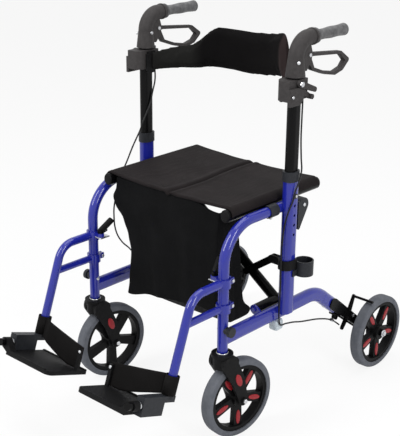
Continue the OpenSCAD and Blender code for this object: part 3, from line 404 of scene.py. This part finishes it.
# %% Finishes on the CAD nodes
node_finish = {
    "front_leg": frame_paint, "bottom_rail": frame_paint, "upright_post": frame_paint,
    "footrest_hanger": frame_paint, "handle_tube": black_steel, "rear_bracket": black_steel,
    "cross_frame": black_steel, "stay_link": black_steel, "footrest_latch": black_steel,
    "brake_arm": black_steel, "hinge_pin": black_steel, "cross_bolt": silver_steel,
    "grip": grip_rubber, "front_tyre": tyre, "rear_tyre": tyre, "handle_housing": handle_plastic,
    "backrest_bracket": handle_plastic, "brake_lever": handle_plastic, "hinge_block": grey_plastic,
    "cane_holder": grey_plastic, "frame_fittings": grey_plastic,
}
for node, node_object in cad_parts.items():
    plain_name = node.removeprefix("right_").removeprefix("left_")
    for slot in node_object.material_slots:
        slot.material = node_finish.get(plain_name, black_plastic)
print("dressed", len(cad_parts), "nodes")

# %% [markdown]
# New pieces all end the same way: their bmesh becomes a mesh at the origin, gets smooth shading
# with sharp edges kept and one finish. Most are then set on the body that they ride on.

# %% Helpers for new pieces


def to_piece(name, shape, finish, sharp=40):
    mesh = bpy.data.meshes.new(name)
    shape.to_mesh(mesh)
    shape.free()
    mesh.shade_smooth()
    mesh.set_sharp_from_angle(angle=math.radians(sharp))
    mesh.materials.append(finish)
    piece = bpy.data.objects.new(name, mesh)
    scene.collection.objects.link(piece)
    return piece


def facing(place, axis):
    turn = Vector((0, 0, 1)).rotation_difference(Vector(axis))
    return Matrix.Translation(place) @ turn.to_matrix().to_4x4()


def add_head(shape, place, axis, width, height, sides):
    """A screw head or nut whose foot is at place and which stands out along axis."""
    middle = place + Vector(axis).normalized() * height / 2
    made = bmesh.ops.create_cone(shape, cap_ends=True, segments=sides, radius1=width / 2, radius2=width / 2,
                                 depth=height, matrix=facing(middle, axis))
    outward = Vector(axis).normalized()
    rim = {edge for vert in made["verts"] for edge in vert.link_edges
           if all((v.co - middle).dot(outward) > 0 for v in edge.verts)}
    bmesh.ops.bevel(shape, geom=list(rim), offset=height * 0.35, segments=3, profile=0.5,
                    affect="EDGES", material=-1)


def add_lozenge(shape, turn, length, width, height):
    """A long oval pad with a rounded top, drawn in the plane of turn and standing along its Z."""
    made = bmesh.ops.create_cone(shape, cap_ends=True, segments=24, radius1=0.5, radius2=0.5, depth=1,
                                 matrix=Matrix.Diagonal((length, width, height, 1)))
    top = {edge for vert in made["verts"] for edge in vert.link_edges if all(v.co.z > 0 for v in edge.verts)}
    rounded = bmesh.ops.bevel(shape, geom=list(top), offset=height * 0.6, segments=3, profile=0.5,
                              affect="EDGES", material=-1)
    verts = {v for v in made["verts"] if v.is_valid} | set(rounded["verts"])
    bmesh.ops.transform(shape, matrix=turn, verts=list(verts))


SIDES = (("right", 1), ("left", -1))

# %% [markdown]
# Each brake lever pulls a thin cable that leaves the handle, wanders down along the post and runs
# under the rail to the brake arm. The points of its route are the same as those of its solid. The
# last run, under the rail, is alike on both sides.

# %% Routes of the brake cables
RAIL_ROUTE = [
    (239, -28, 262), (238, -21, 243), (235, 4, 236), (231, 40, 226), (228, 75, 214), (225, 110, 204),
    (222, 145, 194), (220, 175, 184), (218, 205, 172), (218, 228.3, 160.3), (218, 246.3, 147.3),
    (218, 260.3, 136.3)]
RIGHT_ROUTE = [
    (236, 26, 846), (240, 26, 800.2), (241, 25, 750.5), (242, 24, 700.8), (245, 24, 655), (255, 14, 629),
    (257, 3, 604), (255, -9, 578), (254, -12, 562), (250, -20, 540), (246, -26, 514), (242, -29, 480),
    (240, -30, 440), (240, -30, 400), (240, -29, 350), (239, -29, 300)] + RAIL_ROUTE
LEFT_ROUTE = [
    (-232, 26, 846), (-230, 26, 790.8), (-224, 20, 763.2), (-221, 8, 735.6), (-221, 0, 709.8),
    (-221, -14, 685.9), (-222, -27, 662), (-225, -34, 642), (-228, -41, 627), (-233, -54, 600),
    (-236, -70, 568), (-238, -92, 530), (-238, -107, 490), (-237, -118, 458), (-236, -121, 431),
    (-237, -114, 385), (-237, -94, 350), (-237, -66, 322), (-238, -42, 290)]
LEFT_ROUTE += [(-x, y, z) for x, y, z in RAIL_ROUTE]
print("route points", len(RIGHT_ROUTE), len(LEFT_ROUTE))

# %% [markdown]
# A cable is a fixed length of jacketed wire, so it is drawn as one smooth curve and made a mesh
# that rides the side frame. On the real chair, the cable's slack takes up the change when the handle goes
# down.

# %% Brake cables
CABLE_D = 0.004
for side, route in (("right", RIGHT_ROUTE), ("left", LEFT_ROUTE)):
    curve = bpy.data.curves.new("cable_route", "CURVE")
    curve.dimensions = "3D"
    curve.bevel_depth = CABLE_D / 2
    curve.bevel_resolution = 3
    curve.use_fill_caps = True
    curve.resolution_u = 6
    spline = curve.splines.new("BEZIER")
    spline.bezier_points.add(len(route) - 1)
    for point, place in zip(spline.bezier_points, route):
        point.co = spot(*place)
        point.handle_left_type = point.handle_right_type = "AUTO"
    drawn = bpy.data.objects.new("cable_route", curve)
    scene.collection.objects.link(drawn)
    mesh = bpy.data.meshes.new_from_object(drawn.evaluated_get(bpy.context.evaluated_depsgraph_get()))
    bpy.data.objects.remove(drawn)
    mesh.name = side + "_cable"
    mesh.materials.clear()
    mesh.materials.append(cable_jacket)
    mesh.shade_smooth()
    cable = bpy.data.objects.new(side + "_cable", mesh)
    scene.collection.objects.link(cable)
    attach(cable, side + "_frame")
    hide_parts(side + "_brake_cable")
    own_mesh(cable)

# %% [markdown]
# The seat is one piece of woven polyester stretched between the two seat rails. It wraps over each
# rail, and years of folding leave a crease along its middle. A grid is enough: its points are laid
# over the rails and dipped at the crease, then thickened.

# %% Seat sling
SEAT_FRONT, SEAT_REAR = -172, 153
RAIL_X, RAIL_MID, WRAP_R = 192, 554.8, 17.2
WRAP_ARC = WRAP_R * math.radians(95)
SAG, CREASE_DEPTH, CREASE_HALF, PUCKER, WAVE = 6.5, 5.5, 4.2, 1.6, 1.5
HEM_ROLL, SEAM_DEPTH, SEAM_AT = 3, 0.9, 16


def seat_height(across, along):
    """Height of the cloth between the rails: its sag, its crease with puckers beside it, a slight wave."""
    share = abs(across) / RAIL_X
    off_crease = across - 4 + 7 * math.sin(along / 55)
    z = RAIL_MID + WRAP_R - SAG * (1 - share ** 2) - CREASE_DEPTH * math.exp(-(off_crease / CREASE_HALF) ** 2)
    z += PUCKER * math.exp(-((abs(off_crease) - 13) / 8) ** 2)
    return z + WAVE * noise.noise(Vector((across / 60, along / 85, 0))) * (1 - share ** 4)


sling = bmesh.new()
bmesh.ops.create_grid(sling, x_segments=180, y_segments=72, size=0.5)
for vert in sling.verts:
    across = 2 * vert.co.x * (RAIL_X + WRAP_ARC)
    along = SEAT_FRONT + (vert.co.y + 0.5) * (SEAT_REAR - SEAT_FRONT)
    reach, side = abs(across), math.copysign(1, across)
    hem = min(along - SEAT_FRONT, SEAT_REAR - along)
    if reach <= RAIL_X:
        x, z = across, seat_height(across, along)
    else:
        turn = (reach - RAIL_X) / WRAP_R
        x = side * (RAIL_X + WRAP_R * math.sin(turn))
        z = RAIL_MID + WRAP_R * math.cos(turn)
    z -= HEM_ROLL * max(0, 1 - hem / 6) ** 2 + SEAM_DEPTH * math.exp(-((hem - SEAM_AT) / 1.8) ** 2)
    vert.co = spot(x, along, z)
bmesh.ops.recalc_face_normals(sling, faces=sling.faces)
if sum(face.normal.z for face in sling.faces) < 0:
    bmesh.ops.reverse_faces(sling, faces=sling.faces)
cloth_area = sum(face.calc_area() for face in sling.faces)
seat = to_piece("seat_sling", sling, seat_cloth, sharp=180)
thick = seat.modifiers.new("cloth_thickness", "SOLIDIFY")
thick.thickness = 0.0035
thick.offset = -1
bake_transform(seat)
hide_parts("left_seat_panel", "right_seat_panel")
print("seat cloth", round(cloth_area, 3), "m2")

# %% [markdown]
# The bag is sewn from thin cloth and hangs open under the seat: wide at its mouth, drawn in below.
# Short tables give its side edges by height and its front foot by width, and one function reads
# them at any point of the bag.

# %% Outline of the bag
BAG_FRONT, BAG_REAR, REAR_FLARE, BAG_HALF = -166, -97, 43, 155
MOUTH_FRONT, MOUTH_REAR, MOUTH_DIP, SOLE, FLAP = 563, 546, 58, 244, 34
LEFT_EDGE = [(240, 146), (293, 137), (378, 129), (415, 138), (456, 155), (485, 184), (505, 192), (532, 178),
             (565, 176)]
RIGHT_EDGE = [(240, 148), (300, 155), (470, 158), (544, 162), (565, 172)]
FRONT_FOOT = [(-150, 254), (-66, 275), (54, 288), (94, 297), (136, 294), (160, 282)]


def ease(t):
    t = max(0, min(1, t))
    return t * t * (3 - 2 * t)


def along_table(value, table):
    """Read a table of (value, result) pairs, easing from one row to the next."""
    for (v0, r0), (v1, r1) in zip(table, table[1:]):
        if value <= v1:
            return r0 + (r1 - r0) * ease((value - v0) / (v1 - v0))
    return table[-1][1]


def bag_place(u, v, w):
    """A point of the bag: u across from -1 to 1, v from front to rear, w from foot to mouth."""
    foot = along_table(BAG_HALF * u, FRONT_FOOT)
    foot += (SOLE - foot) * ease(v / 0.65)
    front_mouth = MOUTH_FRONT - 12 * ease((u - 0.5) / 0.4)
    rear_mouth = MOUTH_REAR - MOUTH_DIP * (1 - u ** 4)
    mouth = front_mouth + (rear_mouth - front_mouth) * v
    z = foot + (mouth - foot) * w
    x = u * along_table(z, RIGHT_EDGE if u > 0 else LEFT_EDGE)
    rear = BAG_REAR + REAR_FLARE * (1 - w)
    corner_flap = FLAP * math.exp(-((w - 0.05) / 0.07) ** 2) * ease((u - 0.75) / 0.25) * ease((v - 0.8) / 0.2)
    y = BAG_FRONT + (rear - BAG_FRONT) * v + corner_flap
    return x, y, z


print("bag mouth, middle of the front", [round(value) for value in bag_place(0, 0, 1)], "mm")

# %% [markdown]
# A cube is cut into a fine grid, its lid is taken off, and each point is moved to the sagging outline
# and pushed in and out by smooth noise that runs down the folds. The bag rides the right side frame.

# %% Cargo bag
pouch = bmesh.new()
bmesh.ops.create_cube(pouch, size=1)
bmesh.ops.delete(pouch, geom=[face for face in pouch.faces if face.normal.z > 0.9], context="FACES")
bmesh.ops.subdivide_edges(pouch, edges=pouch.edges, cuts=47, use_grid_fill=True)
for vert in pouch.verts:
    u, v, w = 2 * vert.co.x, vert.co.y + 0.5, vert.co.z + 0.5
    x, y, z = bag_place(u, v, w)
    fold = noise.noise(Vector((u * 2.6, v * 2.1, w * 0.8))) * 7 * (1.15 - w)
    fold += noise.noise(Vector((u * 7 + w, v * 5, w * 2.4 + 5))) * 2.2
    if v < 0.001 or v > 0.999:
        belly = 5 * math.sin(math.pi * min(1, w)) * (1 - u * u)
        y += fold * (1 - u ** 4) + (belly - 2 if v > 0.5 else -belly)
    if abs(u) > 0.999:
        x += math.copysign(fold, u) * 3 * v * (1 - v)
    if w < 0.001:
        z -= 5 * (1 - u * u) * math.sin(math.pi * v)
    vert.co = spot(x, y, z)
bmesh.ops.recalc_face_normals(pouch, faces=pouch.faces)
for _ in range(3):
    bmesh.ops.smooth_vert(pouch, verts=pouch.verts, factor=0.5, use_axis_x=True, use_axis_y=True,
                          use_axis_z=True)
bag_area = sum(face.calc_area() for face in pouch.faces)
bag = to_piece("cargo_bag_cloth", pouch, bag_cloth, sharp=180)
thick = bag.modifiers.new("cloth_thickness", "SOLIDIFY")
thick.thickness = 0.002
thick.offset = -1
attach(bag, "right_frame")
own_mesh(bag)
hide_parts("cargo_bag")
print("bag cloth", round(bag_area, 3), "m2")

# %% [markdown]
# The backrest is a padded band: foam in a knitted sleeve, narrow where it meets the arms and tall
# in the middle. A cube cut into a grid is bent along the band's arc, from the right arm at 0 degrees
# to the left arm at 180.

# %% Shape of the backrest pad
BACK_Z, BAND_X, BAND_BOW, BAND_START = 816, 204.6, 110, -12
ARM_H, PAD_H, PAD_T, END_T = 54, 113, 26, 7
MID_LIFT, RIGHT_LIFT = 40, 30


def band_fullness(angle):
    """From 0 on an arm to 1 in the middle; the left end, from 180 degrees down, fills more slowly."""
    if angle < 90:
        return ease((angle - 10) / 32)
    return 0.3 * ease((180 - angle) / 55) + 0.7 * ease((138 - angle) / 28)


padding = bmesh.new()
bmesh.ops.create_cube(padding, size=1)
for axis, cuts in ((0, 71), (1, 5), (2, 17)):
    along_axis = [edge for edge in padding.edges
                  if abs((edge.verts[1].co - edge.verts[0].co)[axis]) > 0.9 * (edge.calc_length())]
    bmesh.ops.subdivide_edges(padding, edges=along_axis, cuts=cuts, use_grid_fill=True)
for vert in padding.verts:
    angle = 180 * (0.5 - vert.co.x)
    deep, tall = 2 * vert.co.y, 2 * vert.co.z
    cosine, sine = math.cos(math.radians(angle)), math.sin(math.radians(angle))
    full = band_fullness(angle)
    half_h = (ARM_H + (PAD_H - ARM_H) * full) / 2 - 2
    half_t = (END_T + (PAD_T - END_T) * abs(sine) ** 0.7) / 2 - 1.2
    round_off = math.sqrt(max(0.04, 1 - abs(tall) ** 3))
    normal = Vector((cosine * BAND_BOW, sine * BAND_X)).normalized()
    radius = BAND_X + END_T / 2 - half_t - 1.2
    vert.co = spot(radius * cosine + normal.x * deep * half_t * round_off,
                   BAND_START + BAND_BOW * sine + normal.y * deep * half_t * round_off,
                   BACK_Z + 2 + full * (MID_LIFT + RIGHT_LIFT * max(0, cosine) ** 2) + tall * half_h)
bmesh.ops.recalc_face_normals(padding, faces=padding.faces)
pad = to_piece("backrest_padding", padding, pad_cloth, sharp=180)
print("pad shape", len(pad.data.vertices), "points")

# %% [markdown]
# Blender's cloth solver then blows the cover up a little, as foam fills it, with a cap on how far any
# point may move. The band rides the right arm.

# %% Filling of the backrest pad


def inflate(piece, voxel, pressure, cap, frames=20):
    """Voxel remesh, then blow the piece up with the cloth solver; no point moves further than cap."""
    remesh = piece.modifiers.new("even_skin", "REMESH")
    remesh.mode = "VOXEL"
    remesh.voxel_size = voxel
    graph = bpy.context.evaluated_depsgraph_get()
    skin = bpy.data.meshes.new_from_object(piece.evaluated_get(graph))
    piece.modifiers.clear()
    piece.data = skin
    skin.shade_smooth()
    start = [vert.co.copy() for vert in skin.vertices]
    cloth = piece.modifiers.new("fill", "CLOTH")
    cloth.settings.use_pressure = True
    cloth.settings.uniform_pressure_force = pressure
    cloth.settings.effector_weights.gravity = 0
    for number in range(1, frames + 1):
        scene.frame_set(number)
    filled = bpy.data.meshes.new_from_object(piece.evaluated_get(bpy.context.evaluated_depsgraph_get()))
    piece.modifiers.clear()
    scene.frame_set(1)
    for vert, home in zip(filled.vertices, start):
        move = vert.co - home
        if move.length > cap:
            vert.co = home + move * (cap / move.length)
    piece.data = filled
    filled.shade_smooth()


inflate(pad, 0.005, 4, 0.004)
pad.data.materials.clear()
pad.data.materials.append(pad_cloth)
finer = pad.modifiers.new("smooth_skin", "SUBSURF")
finer.levels = finer.render_levels = 1
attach(pad, "right_back")
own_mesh(pad)
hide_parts("backrest_pad")
print("pad", len(pad.data.vertices), "points")

# %% [markdown]
# The footplates stand square with the raked hangers. So places there are measured from the hanger's
# foot, ahead of its tube and up along it.

# %% Places at the footrests
HANGER_FOOT_Y, HANGER_FOOT_Z, RAKE = -392.35, 190, math.radians(20)
AHEAD, ALONG = Vector((0, -math.cos(RAKE), math.sin(RAKE))), Vector((0, math.sin(RAKE), math.cos(RAKE)))


def foot_spot(x, ahead, up):
    return spot(x, HANGER_FOOT_Y, HANGER_FOOT_Z) + AHEAD * ahead / 1000 + ALONG * up / 1000


print("right hanger's foot", [round(value, 3) for value in foot_spot(FRAME_X, 0, 0)])

# %% [markdown]
# A strap of webbing runs behind each heel, from a loop round the hanger to a lug on the plate's
# inner corner. Webbing is flat, so a grid bowed a little ahead is thickened, and a rivet holds it to
# the lug.

# %% Heel straps
HEEL_IN, HEEL_OUT, HEEL_LOW, HEEL_TOP, HEEL_H = 50, 198.5, -29, 25, 50
HEEL_AHEAD, HEEL_BOW, HEEL_TUCK, LOW_RISE, TOP_RISE = 15.5, 2, 9, 34, 27
LOOP_R, LOOP_H = 0.0142, 0.045
for side, sign in SIDES:
    web = bmesh.new()
    bmesh.ops.create_grid(web, x_segments=40, y_segments=12, size=0.5)
    for vert in web.verts:
        t, s = vert.co.x + 0.5, vert.co.y + 0.5
        bulge, round_tube = math.sin(math.pi * t), ease((t - 0.84) / 0.16)
        low = HEEL_LOW + LOW_RISE * max(0, (t - 0.25) / 0.75) ** 1.25
        high = HEEL_TOP + TOP_RISE * t
        vert.co = foot_spot(sign * (HEEL_IN + (HEEL_OUT - HEEL_IN) * t + 5 * round_tube),
                            HEEL_AHEAD + HEEL_BOW * bulge - HEEL_TUCK * round_tube, low + s * (high - low))
    bmesh.ops.recalc_face_normals(web, faces=web.faces)
    web_area = sum(face.calc_area() for face in web.faces)
    strap = to_piece(side + "_heel_webbing", web, strap_web, sharp=180)
    thick = strap.modifiers.new("web_thickness", "SOLIDIFY")
    thick.thickness = 0.0024
    thick.offset = 0
    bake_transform(strap)
    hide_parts(side + "_heel_strap")
    loop = bmesh.new()
    bmesh.ops.create_cone(loop, segments=32, radius1=LOOP_R, radius2=LOOP_R, depth=LOOP_H,
                          matrix=facing(foot_spot(sign * FRAME_X, 0, 29.5), ALONG))
    loop_area = sum(face.calc_area() for face in loop.faces)
    band = to_piece(side + "_strap_loop", loop, strap_web, sharp=60)
    thick = band.modifiers.new("web_thickness", "SOLIDIFY")
    thick.thickness = 0.0022
    thick.offset = 1
    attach(band, side + "_hanger")
    print(strap.name, round(web_area, 4), "m2,", band.name, round(loop_area, 4), "m2")

# %% [markdown]
# The wheels carry a red trim on the outer face of every spoke, and each fork leg has a red oval.
# A short cone with its top edge rounded makes a pad, scaled long for a spoke and short for a leg.

# %% Red trims
AXLE_Z, CASTER_TURN, REAR_X, REAR_Y = 100, math.radians(8), 268, 361
CASTER_AXIS = Vector((math.cos(CASTER_TURN), -math.sin(CASTER_TURN), 0))
CASTER_WAY = Vector((math.sin(CASTER_TURN), math.cos(CASTER_TURN), 0))
caster_stem = {side: spot(sign * FRAME_X, -210, 0) for side, sign in SIDES}


def caster_spot(side, out, behind, z):
    """A place on a caster: out along its axle, behind its stem and above the floor, in mm."""
    return caster_stem[side] + (CASTER_AXIS * out + CASTER_WAY * behind + Vector((0, 0, z))) / 1000


for side, sign in SIDES:
    wheels = (("front", caster_spot(side, 0, 47, AXLE_Z), CASTER_AXIS * sign),
              ("rear", spot(sign * REAR_X, REAR_Y, AXLE_Z), Vector((sign, 0, 0))))
    for place, middle, axis in wheels:
        trims = bmesh.new()
        for spoke in range(5):
            angle = math.radians(72 * spoke)
            forward = axis.cross(Vector((0, 0, 1)))
            outward = forward * math.sin(angle) - Vector((0, 0, math.cos(angle)))
            turn = Matrix((outward, axis.cross(outward), axis)).transposed().to_4x4()
            turn.translation = middle + outward * 0.053 + axis * 0.0079
            add_lozenge(trims, turn, 0.038, 0.013, 0.0024)
        piece = to_piece(f"{side}_{place}_spoke_trims", trims, red_trim)
        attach(piece, f"{side}_{place}_wheel")
    ovals = bmesh.new()
    for face in (1, -1):
        axis = CASTER_AXIS * face
        along = (CASTER_WAY * 0.40 - Vector((0, 0, 1))).normalized()
        turn = Matrix((along, axis.cross(along), axis)).transposed().to_4x4()
        turn.translation = caster_spot(side, face * 27.4, 30, 160)
        add_lozenge(ovals, turn, 0.036, 0.017, 0.0024)
    piece = to_piece(side + "_fork_ovals", ovals, red_trim)
    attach(piece, side + "_caster")
print("red trims on four wheels and two forks")

# %% [markdown]
# Small zinc screws and nuts catch the light all over the chair: on the axles, the handles, the
# hanger's clamps and the backrest. Each is a short cone with a rounded rim, six-sided for a nut.

# %% Screws and nuts


def screws(name, body, heads):
    """One piece of zinc heads, each with its place, its way out, its width, height and sides."""
    shape = bmesh.new()
    for place, axis, width, height, sides in heads:
        add_head(shape, place, axis, width / 1000, height / 1000, sides)
    piece = to_piece(name, shape, silver_steel)
    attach(piece, body)


for side, sign in SIDES:
    out, inward = Vector((sign, 0, 0)), Vector((-sign, 0, 0))
    screws(side + "_axle_bolts", side + "_caster", [
        (caster_spot(side, 31, 47, AXLE_Z), CASTER_AXIS, 12, 4, 6),
        (caster_spot(side, -31, 47, AXLE_Z), -CASTER_AXIS, 12, 4, 6)])
    screws(side + "_rear_nut", side + "_frame", [
        (spot(sign * 293, REAR_Y, AXLE_Z), out, 20, 2, 24),
        (spot(sign * 295, REAR_Y, AXLE_Z), out, 14, 4, 6)])
    screws(side + "_handle_screws", side + "_handle", [
        (spot(sign * 248.5, 35, 893), out, 9, 3, 20), (spot(sign * 223.5, 35, 893), inward, 9, 3, 20),
        (spot(sign * 217, 2, 886), inward, 8, 2.5, 20),
        (spot(sign * 253, -12, 883), Vector((0.82 * sign, -0.58, 0)), 8, 2.5, 20),
        (spot(sign * 264.7, -12, 837), out, 13, 4, 6), (spot(sign * 261.7, -38, 811), out, 7, 2, 20)])
    screws(side + "_clamp_screws", side + "_hanger", [
        (spot(sign * 225, -187, 408), out, 9, 4, 6), (spot(sign * 225, -187, 346), out, 9, 4, 6),
        (spot(sign * 211, -187, 408), inward, 9, 4, 6), (spot(sign * 211, -187, 346), inward, 9, 4, 6)])
    screws(side + "_frame_screws", side + "_frame", [
        (spot(sign * 254, 0, 570), out, 7, 1.5, 20), (spot(sign * 230, 216, 212), out, 7, 1.5, 20),
        (spot(sign * 234.1, 300.3, 155.3), out, 9, 3, 6), (spot(sign * 205.6, -210, 290), inward, 8, 2, 20),
        (spot(sign * FRAME_X, -47, 523), Vector((0, 0, -1)), 8, 6, 6)])
    screws(side + "_stem_ring", side + "_caster", [
        (spot(sign * FRAME_X, -210, 231), Vector((0, 0, 1)), 29, 3.4, 32)])
    screws(side + "_strap_rivet", side + "_plate", [(foot_spot(sign * 53, 23.4, 14), AHEAD, 8, 2, 20)])
    screws(side + "_pin_ring", side + "_pin", [(foot_spot(sign * FRAME_X, 88.5, -15), AHEAD, 19, 5, 24)])
    screws(side + "_cable_barrel", side + "_frame", [
        (spot(sign * FRAME_X, 221, 165.5), Vector((0, 18, -13)), 8, 18, 20)])
screws("cane_clip_screw", "right_frame", [(spot(247, 41, 538), Vector((1, 0, 0)), 9, 2.5, 20)])
print("screws done")

# %% [markdown]
# A few moulded pieces finish the frame. Dark plugs close the ends of the seat rails, and a pale cap
# sits under each bottom rail. A seat rail belongs to the cross frame of the other side.

# %% Plugs and caps


def add_block(shape, turn, size, edge):
    """A block with rounded edges, its middle at turn."""
    made = bmesh.ops.create_cube(shape, size=1, matrix=Matrix.Diagonal((*(side / 1000 for side in size), 1)))
    edges = list({e for vert in made["verts"] for e in vert.link_edges})
    rounded = bmesh.ops.bevel(shape, geom=edges, offset=edge / 1000, segments=3, profile=0.5,
                              affect="EDGES", material=-1)
    verts = {v for v in made["verts"] if v.is_valid} | set(rounded["verts"])
    bmesh.ops.transform(shape, matrix=turn, verts=list(verts))


def moulded(name, shape, finish, body):
    piece = to_piece(name, shape, finish)
    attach(piece, body)


for (side, sign), (other_side, _) in zip(SIDES, reversed(SIDES)):
    plugs = bmesh.new()
    for y, way in ((-178, -1), (158, 1)):
        turn = Matrix((Vector((0, 0, 1)), Vector((-way, 0, 0)), Vector((0, way, 0)))).transposed().to_4x4()
        turn.translation = spot(sign * RAIL_X, y + way, 552)
        add_lozenge(plugs, turn, 0.0295, 0.0255, 0.006)
    moulded(side + "_rail_plugs", plugs, black_plastic, other_side + "_cross")
    cap = bmesh.new()
    add_block(cap, Matrix.Translation(spot(sign * 222, -17, 239)), (26, 28, 28), 6)
    moulded(side + "_rail_cap", cap, grey_cap, side + "_frame")
print("rail plugs and caps")

# %% [markdown]
# A tapered sleeve guides each cable out of its handle, and a ring closes the handle at the grip. The
# footrest's release lever gets a broad thumb pad with a zinc plate under it.

# %% Sleeves, rings and thumb pads
for (side, sign), route in zip(SIDES, (RIGHT_ROUTE, LEFT_ROUTE)):
    sleeve = bmesh.new()
    top = spot(*route[0])
    bmesh.ops.create_cone(sleeve, cap_ends=True, segments=20, radius1=0.0029, radius2=0.0045, depth=0.02,
                          matrix=Matrix.Translation(top - Vector((0, 0, 0.007))))
    moulded(side + "_cable_sleeve", sleeve, black_plastic, side + "_handle")
    ring = bmesh.new()
    add_head(ring, spot(sign * POST_X, 53, 931), Vector((0, 1, 0)), 0.0395, 0.007, 32)
    moulded(side + "_grip_ring", ring, handle_plastic, side + "_handle")
    thumb = bmesh.new()
    tilt = Matrix.Rotation(math.radians(20 * sign), 4, "Z") @ Matrix.Rotation(math.radians(40), 4, "X")
    reach = tilt @ Vector((0, 0.024, 0.0035))
    add_block(thumb, Matrix.Translation(spot(sign * 190.5, -210, 419.5) + reach) @ tilt, (12, 42, 15), 4)
    moulded(side + "_thumb_pad", thumb, black_plastic, side + "_latch")
    plate = bmesh.new()
    add_block(plate, Matrix.Translation(spot(sign * 196, -204, 408)), (34, 30, 3), 1)
    moulded(side + "_latch_plate", plate, silver_steel, side + "_hanger")
print("cable sleeves, grip rings and thumb pads")
